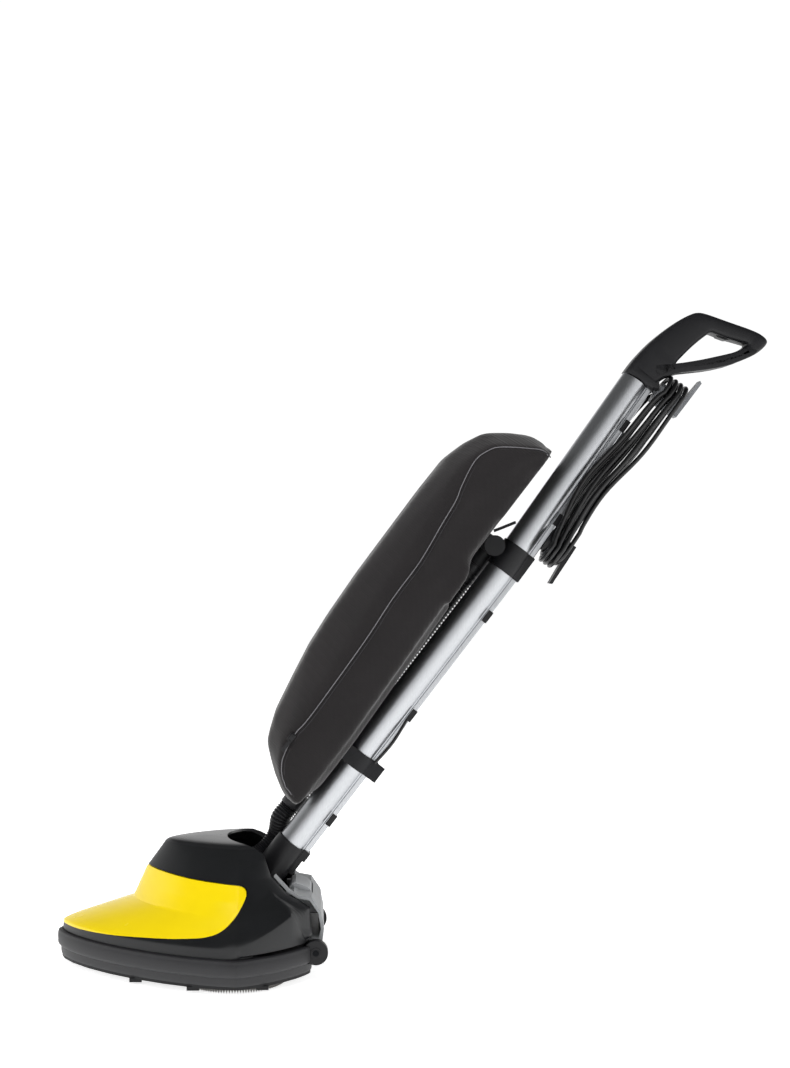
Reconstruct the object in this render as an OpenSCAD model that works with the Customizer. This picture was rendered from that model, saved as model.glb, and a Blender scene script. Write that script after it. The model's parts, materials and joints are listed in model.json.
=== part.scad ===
// Three-disc floor polisher with a dust bag on a tilting handle.
// +X points to the rear, +Z up, and the centre plane is Y = 0. The origin lies
// on the floor, in the middle of the machine's length as it stands tilted.
// Two helper frames follow the handle: in_low() has its origin on the tilt axis
// with z up the lower tube, and in_up() has its origin at the knee of the tube.

/* [Base] */
// Distance from the tilt axis forward to the nose of the bumper
nose_reach = 234; // [230:1:250]
// Distance from the tilt axis back to the rear edge of the bumper
tail_reach = 118; // [116:1:126]
// Width over the bumper
base_w = 330; // [326:1:350]
// Distance from the tilt axis back to the widest place of the base
widest_back = 18; // [10:1:30]
// Half the width of the straight rear edge of the base
rear_half_w = 83; // [80:1:90]
// Height of the lower edge of the skirt above the floor
skirt_z = 8; // [7:0.5:10]
// Height of the lower edge of the bumper above the floor
bumper_z = 12; // [11:1:18]
// Height of the bumper band
bumper_h = 34; // [30:1:36]
// Thickness of the bumper band
bumper_t = 6; // [4:0.5:8]
// Height of the housing above the bumper
hood_h = 135; // [133:1:145]
// Wall of the moulded housings
shell_wall = 3; // [2:0.5:3.5]
// Radius of the round recess behind the motor
recess_r = 69; // [64:1:72]
// Distance from the tilt axis back to the centre of the recess
recess_back = 67; // [64:1:72]
// Gap between the front hood and the upper housing
hood_gap = 0.8; // [0.4:0.1:1.5]

/* [Discs] */
// Radius of a polishing pad
pad_r = 69; // [60:0.5:70]
// Thickness of a polishing pad
pad_t = 9; // [6:0.5:9]
// Thickness of the disc that holds a pad
holder_t = 8; // [5:0.5:8]
// Distance from the motor's axis to each disc's axis
disc_ring_r = 88.7; // [86:0.1:90]
// Distance from the tilt axis forward to the motor's axis
motor_ahead = 32; // [28:0.5:34]
// Radius of a disc's spindle
spindle_r = 4; // [3:0.5:5]
// Radius of a disc's pulley
disc_pulley_r = 40; // [34:0.5:42]
// Radius of the motor's pulley
motor_pulley_r = 11; // [9:0.5:13]
// Width of a drive belt
belt_w = 5; // [3:0.5:5.5]
// Thickness of a drive belt
belt_t = 2; // [1.5:0.1:3]
// Height taken by one belt level
belt_level = 6.5; // [6.3:0.1:7]

/* [Motor] */
// Radius of the stator
stator_r = 40; // [34:0.5:42]
// Length of the stator
stator_h = 45; // [38:1:46]
// Radius of the armature
armature_r = 24; // [20:0.5:26]
// Radius of the motor's shaft
shaft_r = 5; // [4:0.5:6]
// Radius of the suction fan's housing
fan_case_r = 44; // [40:0.5:45]
// Height of the suction fan's housing
fan_case_h = 26; // [24:1:28]
// Radius of the fan wheel
fan_r = 38; // [30:0.5:39]

/* [Handle] */
// Height of the tilt axis above the floor
pivot_z = 113; // [110:0.5:116]
// Angle of the lower tube behind the vertical
rest_tilt = 37.5; // [34:0.5:39]
// Distance of the tube's axis behind the tilt axis
tube_off = 38; // [36:0.5:40]
// Radius of the tube
tube_r = 19; // [17:0.5:20]
// Wall of the tube
tube_wall = 1.7; // [1.2:0.1:2.5]
// Distance from the tilt axis up to where the tube leaves the foot
foot_top = 94; // [90:1:104]
// Distance from the tilt axis up to the knee inside the collar
knee_z = 581.5; // [560:0.5:600]
// Angle of the upper tube ahead of the lower tube
knee_angle = 2.3; // [0:0.1:4]
// Distance from the knee up to the handle
upper_tube_len = 298; // [290:1:320]
// Height of the collar
collar_h = 40; // [34:1:44]
// Width of the handle
grip_w = 36; // [30:1:40]
// Radius of the pins that the handle tilts on
pivot_r = 5; // [4:0.25:6]

/* [Bag and hose] */
// Half the width of the dust bag's side panels
bag_half_w = 80; // [60:1:90]
// Half the width of the flat front of the dust bag
bag_front_half_w = 42; // [20:1:50]
// Thickness of the bag's cloth and lining
bag_wall = 2.5; // [1.5:0.25:4]
// Radius over the hose's ribs
hose_r = 14; // [12:0.5:14.5]
// Radius of the hose's bore
hose_bore_r = 10; // [8:0.5:10.5]
// Distance from rib to rib on the hose
rib_pitch = 10; // [8:0.5:14]

/* [Cable] */
// Diameter of the mains cable
cable_d = 6.2; // [5.5:0.1:6.3]
// Number of loops in the hank, which lies in two layers
hank_loops = 7; // [5:2:7]
// Gap between neighbouring loops at the lower hook
strand_gap = 0.8; // [0.8:0.05:1]
// Radius of the hooks' drums
drum_r = 16; // [14:0.25:16.5]
// Distance from the knee up to the lower hook
lower_hook_z = 51; // [50:0.5:56]
// Height of the upper hook above the end of the tube
upper_hook_rise = 4; // [0:0.5:4]

/* [Wheels] */
// Radius of a transport wheel
wheel_r = 16; // [13:0.5:17]
// Width of a transport wheel
wheel_w = 12; // [9:0.5:13]
// Height of the wheels' axle above the floor
wheel_z = 37; // [34:0.5:42]

/* [Hidden] */
$fn = 64;

// Clearances
fit = 0.2;             // between pieces that are fixed to each other
run = 0.05;            // radial, between a shaft and its bearing
belt_gap = 0.3;        // between a belt and the pulleys it runs on
origin_back = 250.4;   // from the tilt axis to the origin

// Heights in the base
bumper_top = bumper_z + bumper_h;
holder_top = pad_t + holder_t;
hub_h = 5;
hub_r = 12;
floor_z = holder_top + hub_h + 2;
floor_t = 4;
rotor_bearing_r = 13;
rotor_bearing_h = 8;
bearing_r = 11;
bearing_h = 7;
bearing_apart = 2;
boss_top = floor_z + 2 * bearing_h + bearing_apart + 1;
boss_r = 14;
belt_z = boss_top + 1;
pulley_h = belt_level - 0.5;
motor_z = belt_z + 3 * belt_level + 1;
plate_t = 4;
stator_z = motor_z + plate_t;
cap_z = stator_z + stator_h;
cap_h = 13;
fan_z = cap_z + cap_h;
motor_x = -motor_ahead;

// Discs: name, angle round the motor, belt level
DISCS = [["front", 180, 0], ["left", -60, 1], ["right", 60, 2]];
function disc_xy(i) = [motor_x + disc_ring_r * cos(DISCS[i][1]), disc_ring_r * sin(DISCS[i][1])];
function pulley_z(i) = belt_z + DISCS[i][2] * belt_level;

// Plan outline of the base, drawn in by an inset
nose_power = 1.38;
tail_power = 1.5;
plan_steps = 9;
function half_plan(nose, side, tail, tail_w) = concat(
    [for (i = [0:plan_steps]) let (a = 90 * i / plan_steps)
        [widest_back - (widest_back + nose) * pow(cos(a), nose_power), side * pow(sin(a), nose_power)]],
    [for (i = [1:plan_steps]) let (a = 90 * i / plan_steps)
        [widest_back + (tail - widest_back) * pow(sin(a), tail_power),
         tail_w + (side - tail_w) * pow(cos(a), tail_power)]]);
function mirrored(half) = concat(half, [for (i = [len(half) - 1:-1:1]) [half[i][0], -half[i][1]]]);
function plan(inset) = mirrored(half_plan(nose_reach - inset, base_w / 2 - inset,
    tail_reach - inset, rear_half_w - inset / 2));

// Levels of the housing: share of its height, inset of the nose, inset of the
// side, inset of the tail and inset of the tail's half width. The crown stands
// over the motor, so its nose counts from crown_reach instead of the real nose.
crown_level = 5;
crown_reach = motor_ahead + 202;
LEVELS = [
    [0.000, 7, 7, 2, 1],
    [0.085, 8, 8, 3, 1],
    [0.150, 24, 13, 3, 1],
    [0.230, 58, 21, 3, 2],
    [0.345, 105, 34, 5, 3],
    [0.460, 117, 50, 38, 8],
    [0.630, 126, 68, 58, 10],
    [0.800, 139, 88, 66, 13],
    [0.900, 147, 95, 68, 18],
    [0.950, 172, 120, 68, 42],
    [1.000, 220, 150, 70, 70]
];
// The top levels end at these distances, so a wide base keeps its crown
function level_ring(l, draw) = mirrored(half_plan(
    (l[0] < LEVELS[crown_level][0] ? nose_reach : crown_reach) - l[1] - draw, base_w / 2 - l[2] - draw, tail_reach - l[3] - draw,
    max(rear_half_w - l[4] - draw, 4)));
function level_z(l, draw) = bumper_top + (hood_h - draw) * l[0];

module loft(draw, sink) {
    rings = [for (l = LEVELS) level_ring(l, draw)];
    count = len(rings[0]);
    last = len(LEVELS) - 1;
    points = [for (i = [0:last]) for (p = rings[i])
        [p[0], p[1], level_z(LEVELS[i], draw) - (i == 0 ? sink : 0)]];
    sides = [for (i = [0:last - 1]) for (j = [0:count - 1]) let (k = (j + 1) % count)
        each [[i * count + j, i * count + k, (i + 1) * count + j],
              [i * count + k, (i + 1) * count + k, (i + 1) * count + j]]];
    bottom = [for (j = [1:count - 2]) [0, j + 1, j]];
    crown = last * count;
    top = [for (j = [1:count - 2]) [crown, crown + j, crown + j + 1]];
    polyhedron(points, concat(sides, bottom, top));
}

// Helper frames and small tools
module placed() translate([-origin_back, 0, 0]) children();
module in_low() placed() translate([0, 0, pivot_z]) rotate([0, rest_tilt, 0]) children();
module in_up() in_low() translate([tube_off, 0, knee_z]) rotate([0, -knee_angle, 0]) children();
module at_disc(i) placed() translate([disc_xy(i)[0], disc_xy(i)[1], 0]) children();
module at_motor() placed() translate([motor_x, 0, 0]) children();
module tube(r, bore, h) difference() {
    cylinder(r = r, h = h);
    translate([0, 0, -1]) cylinder(r = bore, h = h + 2);
}
// A bar along Y from y0 to y1
module across(r, y0, y1) translate([0, y0, 0]) rotate([-90, 0, 0]) cylinder(r = r, h = y1 - y0);
// An outline in the XZ plane, made thick from y0 to y1
module slab(points, y0, y1) translate([0, y1, 0]) rotate([90, 0, 0])
    linear_extrude(y1 - y0) polygon(points);
module both_sides() { children(); mirror([0, 1, 0]) children(); }
// Corner cutting makes a smooth closed outline from a few points
function cut_corners(p) = [for (i = [0:len(p) - 1]) let (q = p[(i + 1) % len(p)])
    each [p[i] * 0.75 + q * 0.25, p[i] * 0.25 + q * 0.75]];
function unit(v) = v / norm(v);

// A tube swept along a path. The rings stay square to it, and ref is any
// direction that the path never takes.
function tangent(path, i) = unit(path[min(i + 1, len(path) - 1)] - path[max(i - 1, 0)]);
function ring(path, i, r, sides, ref) =
    let (t = tangent(path, i), n = unit(cross(t, ref)), m = cross(t, n))
    [for (j = [0:sides - 1]) let (a = 360 * j / sides) path[i] + r * (n * cos(a) + m * sin(a))];
function skin_faces(rings, sides, start, turned) = [for (i = [0:rings - 2]) for (j = [0:sides - 1])
    let (k = (j + 1) % sides, a = start + i * sides + j, b = start + i * sides + k,
         c = a + sides, d = b + sides)
    each turned ? [[a, b, c], [b, d, c]] : [[a, c, b], [b, c, d]]];
module cord(path, d, sides, ref) {
    count = len(path);
    points = [for (i = [0:count - 1]) each ring(path, i, d / 2, sides, ref)];
    first = [for (j = [1:sides - 2]) [0, j, j + 1]];
    base = (count - 1) * sides;
    last = [for (j = [1:sides - 2]) [base, base + j + 1, base + j]];
    polyhedron(points, concat(skin_faces(count, sides, 0, false), first, last));
}
module bored_cord(path, radii, bore, sides, ref) {
    count = len(path);
    points = concat(
        [for (i = [0:count - 1]) each ring(path, i, radii[i], sides, ref)],
        [for (i = [0:count - 1]) each ring(path, i, bore, sides, ref)]);
    inner = count * sides;
    last = (count - 1) * sides;
    ends = [for (j = [0:sides - 1]) let (k = (j + 1) % sides)
        each [[j, k, inner + j], [k, inner + k, inner + j],
              [last + j, inner + last + j, last + k],
              [last + k, inner + last + j, inner + last + k]]];
    polyhedron(points, concat(skin_faces(count, sides, 0, false),
        skin_faces(count, sides, inner, true), ends));
}

// Front hood outline seen from the side, as distances from the tilt axis and heights
HOOD = [
    [-nose_reach - 20, 50], [-223, 55.5], [-199, 56], [-156, 58.5], [-101, 62.5], [-64, 65],
    [-35, 68], [-13, 72], [2, 80], [14, 91], [24, 105], [29, 116], [27, 123], [17, 127],
    [-50, 129], [-107, 133], [-150, 134], [-nose_reach - 20, 134]
];
// The hood rests on the housing along its lower edge, and the gap runs along
// its rear and upper edges.
module hood_region(grow) {
    moved = [for (p = HOOD) [p[0] + (p[0] > 10 ? grow : 0), p[1] + (p[1] > 95 ? grow : 0)]];
    slab(moved, -base_w, base_w);
}

// Wheels
wheel_x = tail_reach + 1;
wheel_y = rear_half_w + 5;
axle_r = 4;
wheel_gap = 1.5;
boss_wall = 4;
boss_in = rear_half_w - 20;
module wheel_pockets() both_sides()
    translate([wheel_x, 0, wheel_z]) across(wheel_r + 2, wheel_y - wheel_w / 2 - wheel_gap,
        wheel_y + wheel_w / 2 + wheel_gap);
module axle_bosses(grow) both_sides()
    translate([wheel_x, 0, wheel_z]) across(axle_r + boss_wall + grow, boss_in - grow,
        wheel_y - wheel_w / 2);

// Tilt: the yoke's arms and the brackets beside them
arm_in = 46;
arm_t = 8;
arm_out = arm_in + arm_t;
bracket_t = 6;
bracket_in = arm_out + 1;
eye_r = 12;

// Posts that carry the motor plate
POSTS = [[-70, 45], [-70, -45], [60, 20], [60, -20]];
post_r = 6;
screw_r = 2;
screw_len = 18;
module screw_holes() for (p = POSTS)
    translate([p[0], p[1], motor_z + plate_t - screw_len]) cylinder(r = screw_r, h = screw_len + 1);

// Small feet under the skirt: their places along its outline, and their size
FEET = [5, 7, 12];
foot_ring = plan(bumper_t + shell_wall / 2);
foot_h = 4;
foot_w = 8;

module chassis() color("#26272a") placed() difference() {
    union() {
        difference() {
            translate([0, 0, skirt_z]) linear_extrude(bumper_top - skirt_z) polygon(plan(bumper_t));
            translate([0, 0, skirt_z - 1]) linear_extrude(bumper_top - skirt_z + 2)
                polygon(plan(bumper_t + shell_wall));
        }
        translate([0, 0, floor_z]) linear_extrude(floor_t) polygon(plan(bumper_t + shell_wall - fit));
        for (i = [0:2]) translate([disc_xy(i)[0], disc_xy(i)[1], floor_z])
            cylinder(r = boss_r, h = boss_top - floor_z);
        for (p = POSTS) translate([p[0], p[1], floor_z]) cylinder(r = post_r, h = motor_z - floor_z);
        axle_bosses(0);
        both_sides() for (i = FEET) translate([foot_ring[i][0], foot_ring[i][1], skirt_z - foot_h])
            translate([-foot_w, -shell_wall / 2, 0]) cube([2 * foot_w, shell_wall, foot_h + 1]);
    }
    screw_holes();
    for (i = [0:2]) translate([disc_xy(i)[0], disc_xy(i)[1], floor_z - 1])
        cylinder(r = bearing_r, h = boss_top - floor_z + 2);
    wheel_pockets();
    both_sides() translate([wheel_x, 0, wheel_z]) across(axle_r, boss_in + 2, wheel_y + wheel_w);
}

module bumper() color("#2b2c2e") placed() difference() {
    translate([0, 0, bumper_z]) linear_extrude(bumper_h) polygon(plan(0));
    translate([0, 0, bumper_z - 1]) linear_extrude(bumper_h + 2) polygon(plan(bumper_t));
    wheel_pockets();
    axle_bosses(fit);
}

panel_half_w = 67;
module recess_cut() {
    translate([recess_back, 0, bumper_top + 1]) cylinder(r = recess_r, h = hood_h + 40);
    translate([recess_back, -panel_half_w - fit, bumper_top - 1])
        cube([tail_reach, 2 * (panel_half_w + fit), hood_h + 40]);
}
module housing_shell() difference() {
    loft(0, 0);
    loft(shell_wall, 5);
}
module upper_housing() color("#2a2b2d") placed() difference() {
    housing_shell();
    hood_region(hood_gap);
    recess_cut();
    wheel_pockets();
}
module front_hood() color("#f5d800") placed() intersection() {
    housing_shell();
    hood_region(0);
}

// Rear panel between the cheeks of the housing. It stands on the chassis wall
// and carries the pedal's pin and its spring.
PANEL = [
    [66, 134], [84, 114], [96, 106], [113, 103], [126, 84], [130, 62], [128, bumper_top],
    [107, bumper_top], [107, bumper_top + 3], [123, bumper_top + 3], [126, 62], [122, 83],
    [111, 99], [95, 102], [82, 110], [63, 131]
];
PANEL_WEB = [[79, 90], [79, 105], [95, 105.5], [112, 102], [124, 83.5], [124, 76], [98, 76]];
pedal_half_w = 28;
pedal_gap = 1;
web_t = 7;
pedal_x = 87;
pedal_z = 98;
pedal_pin_r = 2.5;
spring_x = 104;
spring_r = 5;
spring_wire = 1.4;
spring_z = 82;
spring_top = 97;
foot_side = bracket_in + bracket_t + 1;
window_x0 = 78;
window_x1 = 115;
module rear_panel() color("#8f9092") placed() difference() {
    union() {
        difference() {
            slab(PANEL, -panel_half_w, panel_half_w);
            translate([0, -foot_side, spring_top - 1]) cube([90, 2 * foot_side, 60]);
        }
        both_sides() slab(PANEL_WEB, pedal_half_w + pedal_gap, pedal_half_w + pedal_gap + web_t);
        translate([98, -pedal_half_w - 2 * pedal_gap, spring_z - 4])
            cube([26, 2 * (pedal_half_w + 2 * pedal_gap), 4]);
    }
    translate([window_x0, -pedal_half_w - pedal_gap, spring_z + 8])
        cube([window_x1 - window_x0, 2 * (pedal_half_w + pedal_gap), 50]);
    pedal_axis() across(pedal_pin_r, -panel_half_w, panel_half_w);
}
module pedal_axis() translate([pedal_x, 0, pedal_z]) children();

module motor_plate() color("silver") placed() {
    difference() {
        translate([0, 0, motor_z]) linear_extrude(plate_t)
            polygon([[-82, -56], [-14, -bracket_in - bracket_t], [14, -bracket_in - bracket_t],
                     [70, -28], [70, 28], [14, bracket_in + bracket_t],
                     [-14, bracket_in + bracket_t], [-82, 56]]);
        translate([motor_x, 0, motor_z - 1]) cylinder(r = rotor_bearing_r, h = plate_t + 2);
        screw_holes();
    }
    both_sides() difference() {
        union() {
            translate([-14, bracket_in, motor_z + plate_t])
                cube([28, bracket_t, pivot_z - motor_z - plate_t]);
            translate([0, 0, pivot_z]) across(14, bracket_in, bracket_in + bracket_t);
        }
        translate([0, 0, pivot_z]) across(pivot_r, bracket_in - 1, bracket_in + bracket_t + 1);
    }
}

stator_bore_r = armature_r + 0.8;
module stator() color("#6d6f72") at_motor() translate([0, 0, stator_z])
    tube(stator_r, stator_bore_r, stator_h);

module motor_cap() color("#3a3b3d") at_motor() translate([0, 0, cap_z]) difference() {
    cylinder(r = stator_r, h = cap_h);
    translate([0, 0, -1]) cylinder(r = armature_r + 6, h = cap_h - rotor_bearing_h + 1);
    translate([0, 0, -1]) cylinder(r = rotor_bearing_r, h = cap_h + 2);
}

commutator_r = 11;
brush_w = 8;
brush_h = 6;
module carbon_brushes() color("#1a1a1a") at_motor() intersection() {
    both_sides() translate([-brush_w / 2, commutator_r + 0.4, cap_z - brush_h])
        cube([brush_w, stator_bore_r, brush_h]);
    cylinder(r = stator_bore_r, h = cap_z);
}

// Bearings of the rotor, one above the other, and two for each disc
module bearings() color("silver") {
    at_motor() {
        translate([0, 0, motor_z]) tube(rotor_bearing_r, shaft_r + run, plate_t);
        translate([0, 0, cap_z + cap_h - rotor_bearing_h])
            tube(rotor_bearing_r, shaft_r + run, rotor_bearing_h);
    }
    for (i = [0:2]) at_disc(i) for (k = [0, 1])
        translate([0, 0, floor_z + 0.5 + k * (bearing_h + bearing_apart)])
            tube(bearing_r, spindle_r + run, bearing_h);
}

// Suction fan housing, with its outlet pipe towards the hose
outlet_y = 28;
outlet_x = 14;
outlet_r = 13;
outlet_z = fan_z + fan_case_h / 2;
fan_wall = 2;
module fan_housing() color("#303134") placed() difference() {
    union() {
        translate([motor_x, 0, fan_z]) cylinder(r = fan_case_r, h = fan_case_h);
        translate([motor_x, outlet_y, outlet_z]) rotate([0, 90, 0])
            cylinder(r = outlet_r, h = outlet_x - motor_x);
    }
    translate([motor_x, 0, fan_z + fan_wall]) cylinder(r = fan_case_r - fan_wall, h = fan_case_h - 2 * fan_wall);
    translate([motor_x, 0, fan_z - 1]) cylinder(r = shaft_r + 3, h = fan_wall + 2);
    translate([motor_x, outlet_y, outlet_z]) rotate([0, 90, 0])
        cylinder(r = outlet_r - fan_wall, h = outlet_x - motor_x + 1);
}
module fan_wheel() color("#55585c") at_motor() translate([0, 0, fan_z + fan_wall + 2]) {
    vane_h = fan_case_h - 2 * fan_wall - 6;
    tube(fan_r, shaft_r, 1.5);
    tube(shaft_r + 5, shaft_r, vane_h);
    for (a = [0:30:330]) rotate([0, 0, a]) translate([shaft_r + 4.5, -0.8, 1.5])
        cube([fan_r - shaft_r - 7, 1.6, vane_h - 1.5]);
}
module armature() color("#b87333") at_motor() {
    translate([0, 0, belt_z]) cylinder(r = shaft_r, h = fan_z + fan_case_h - fan_wall - 3 - belt_z);
    translate([0, 0, stator_z + 2]) tube(armature_r, shaft_r, stator_h - 12);
    translate([0, 0, cap_z - 8]) tube(commutator_r, shaft_r, 10);
}
module motor_pulley() color("#303030") at_motor() translate([0, 0, belt_z])
    tube(motor_pulley_r, shaft_r, 3 * belt_level - 0.5);

module terminal_block() color("#e8e4d8") placed()
    translate([-58, 46, motor_z + plate_t]) cube([16, 8, 14]);

// A belt round two pulleys that stand apart along x
module belt_outline(ra, rb, d) hull() {
    circle(r = ra);
    translate([d, 0]) circle(r = rb);
}
module belt(i) color("#151515") at_motor() rotate([0, 0, DISCS[i][1]])
    translate([0, 0, pulley_z(i) + 0.5]) linear_extrude(belt_w) difference() {
        belt_outline(motor_pulley_r + belt_gap + belt_t, disc_pulley_r + belt_gap + belt_t, disc_ring_r);
        belt_outline(motor_pulley_r + belt_gap, disc_pulley_r + belt_gap, disc_ring_r);
    }

// Disc parts
module spindle(i) color("silver") at_disc(i) translate([0, 0, pad_t + 1])
    cylinder(r = spindle_r, h = pulley_z(i) + pulley_h + 2 - pad_t - 1);
module disc_pulley(i) color("#3b3b3d") at_disc(i) translate([0, 0, pulley_z(i)]) difference() {
    cylinder(r = disc_pulley_r, h = pulley_h);
    translate([0, 0, -1]) cylinder(r = spindle_r, h = pulley_h + 2);
    for (a = [0:60:300]) rotate([0, 0, a]) translate([disc_pulley_r * 0.6, 0, -1]) cylinder(r = 8, h = pulley_h + 2);
}
module pad_holder(i) color("#b9b9b4") at_disc(i) translate([0, 0, pad_t]) difference() {
    union() {
        cylinder(r = pad_r - 3, h = holder_t);
        cylinder(r = hub_r, h = holder_t + hub_h);
    }
    translate([0, 0, 1]) cylinder(r = spindle_r, h = holder_t + hub_h);
    difference() {
        translate([0, 0, 3]) cylinder(r = pad_r - 7, h = holder_t);
        cylinder(r = hub_r + 4, h = holder_t + 3);
    }
}
module pad(i) color("#d9d6cc") at_disc(i) cylinder(r = pad_r, h = pad_t);

// Pins, screws and wheels
module pivot_pins() color("silver") placed() translate([0, 0, pivot_z]) both_sides()
    across(pivot_r, arm_in - 2, bracket_in + bracket_t + 3);
module wheel_axles() color("silver") placed() both_sides()
    translate([wheel_x, 0, wheel_z]) across(axle_r, boss_in + 2, wheel_y + wheel_w / 2 + 1);
module wheel(side) color("#161616") placed() translate([wheel_x, 0, wheel_z]) difference() {
    y = side * wheel_y;
    union() {
        across(wheel_r, y - wheel_w / 2, y + wheel_w / 2);
        across(axle_r + 3, y - wheel_w / 2 - 0.6, y + wheel_w / 2 + 0.6);
    }
    across(axle_r + run, y - wheel_w, y + wheel_w);
}
module plate_screws() color("silver") placed() for (p = POSTS)
    translate([p[0], p[1], motor_z + plate_t]) {
        translate([0, 0, -screw_len]) cylinder(r = screw_r, h = screw_len);
        cylinder(r = 2 * screw_r, h = 1.5 * screw_r);
    }

// Pedal that frees the handle, on its own pin
PEDAL = [
    [83, 95], [90, 94], [98, spring_top], [110, spring_top], [113.5, 101], [112, 104],
    [107, 108.5], [92, 113.5], [87, 111], [83, 104]
];
module release_pedal() color("#b4b6b8") placed() difference() {
    slab(PEDAL, -pedal_half_w, pedal_half_w);
    pedal_axis() across(pedal_pin_r + run, -panel_half_w, panel_half_w);
}
module pedal_pin() color("silver") placed() pedal_axis()
    across(pedal_pin_r, -pedal_half_w - pedal_gap - web_t, pedal_half_w + pedal_gap + web_t);
module pedal_spring() color("silver") placed() translate([spring_x, 0, spring_z])
    tube(spring_r, spring_r - spring_wire, spring_top - spring_z);

// Foot: a yoke that straddles the motor and holds the tube in a socket
socket_r = tube_r + 3;
socket_z = 44;
yoke_x0 = 38;
yoke_x1 = 54;
yoke_z0 = 34;
yoke_z1 = 46;
rail_half_w = 8;
rail_out = 7;
tube_seat = 58;
ARM = [[-6, 10], [26, yoke_z1], [yoke_x1, yoke_z1], [yoke_x1, yoke_z0], [9, -8]];
tube_back = tube_r + rail_out;
rail_cap_z = 82;
rail_cap_h = 14;
module foot_yoke() color("#232426") in_low() difference() {
    union() {
        both_sides() {
            slab(ARM, arm_in, arm_out);
            across(eye_r, arm_in, arm_out);
        }
        translate([yoke_x0, -arm_out, yoke_z0]) cube([yoke_x1 - yoke_x0, 2 * arm_out, yoke_z1 - yoke_z0]);
        translate([tube_off, 0, socket_z]) cylinder(r = socket_r, h = foot_top - socket_z);
        translate([tube_off, -rail_half_w - 3, tube_seat]) cube([tube_back, 2 * rail_half_w + 6, foot_top - tube_seat]);
        translate([tube_off + tube_r, -rail_half_w - 3, rail_cap_z])
            cube([rail_out + 3, 2 * rail_half_w + 6, rail_cap_h]);
    }
    both_sides() across(pivot_r + run, arm_in - 1, arm_out + 1);
    translate([tube_off, 0, tube_seat]) cylinder(r = tube_r + fit / 2, h = 100);
    translate([tube_off, -rail_half_w - fit, tube_seat])
        cube([tube_back + fit / 2, 2 * (rail_half_w + fit), 100]);
}

// The tube is an extruded profile with a channel for the lead along its back
module tube_profile() difference() {
    union() {
        circle(r = tube_r);
        translate([0, -rail_half_w]) square([tube_back, 2 * rail_half_w]);
    }
    circle(r = tube_r - tube_wall);
    translate([tube_r + 1.5, -rail_half_w + 1.5]) square([rail_out - 3, 2 * rail_half_w - 3]);
}
module lower_tube() color("#c9cbce") in_low() translate([tube_off, 0, tube_seat])
    linear_extrude(knee_z - 1 - tube_seat) tube_profile();
module upper_tube() color("#c9cbce") in_up() translate([0, 0, 1.5])
    linear_extrude(upper_tube_len - 1.5) tube_profile();
// The joiner is straight, so it is thinner than the tubes' bore by the knee
joiner_half = 40;
joiner_r = tube_r - tube_wall - joiner_half * sin(knee_angle / 2) - fit;
module tube_joiner() color("#8d8f92") in_low() translate([tube_off, 0, knee_z])
    rotate([0, -knee_angle / 2, 0]) translate([0, 0, -joiner_half]) tube(joiner_r, joiner_r - 2, 2 * joiner_half);
collar_r = tube_r + 2.5;
collar_gap = 0.6;
module collar_outline() union() {
    circle(r = collar_r);
    translate([0, -rail_half_w - 2]) square([tube_back + 2, 2 * rail_half_w + 4]);
}
module in_collar() translate([tube_off, 0, knee_z]) rotate([0, -knee_angle / 2, 0])
    translate([0, 0, -collar_h / 2]) linear_extrude(collar_h) children();
module collar() color("#232325") in_low() in_collar() difference() {
    collar_outline();
    circle(r = tube_r + collar_gap);
    translate([0, -rail_half_w - collar_gap])
        square([tube_back + collar_gap, 2 * (rail_half_w + collar_gap)]);
}

// Clips that snap over the rail and close its channel
clip_h = 18;
clip_wall = 1.5;
LOW_CLIPS = [150, 330, 500];
UP_CLIPS = [81, 238];
module rail_clip() linear_extrude(clip_h, center = true) difference() {
    translate([tube_r + 1, -rail_half_w - clip_wall])
        square([rail_out - 1 + clip_wall, 2 * (rail_half_w + clip_wall)]);
    translate([tube_r, -rail_half_w - fit / 2]) square([rail_out + fit / 2, 2 * rail_half_w + fit]);
}
module cable_clips() color("#1d1d1f") {
    in_low() for (z = LOW_CLIPS) translate([tube_off, 0, z]) rail_clip();
    in_up() for (z = UP_CLIPS) translate([0, 0, z]) rail_clip();
}
// Flat lead in the channel of the rail, from the handle down to the foot
lead_w = 8;
lead_t = 3;
lead_x = tube_r + 2;
lead_top_gap = 0.5;
function at_knee(x) = [tube_off + x, knee_z + x * tan(knee_angle / 2)];
function past_knee(x, z) = [tube_off + x * cos(knee_angle) - z * sin(knee_angle),
    knee_z + x * sin(knee_angle) + z * cos(knee_angle)];
module motor_lead() color("#101011") in_low() slab([
    [tube_off + lead_x, tube_seat], [tube_off + lead_x + lead_t, tube_seat], at_knee(lead_x + lead_t),
    past_knee(lead_x + lead_t, upper_tube_len - lead_top_gap),
    past_knee(lead_x, upper_tube_len - lead_top_gap), at_knee(lead_x)
], -lead_w / 2, lead_w / 2);

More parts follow.
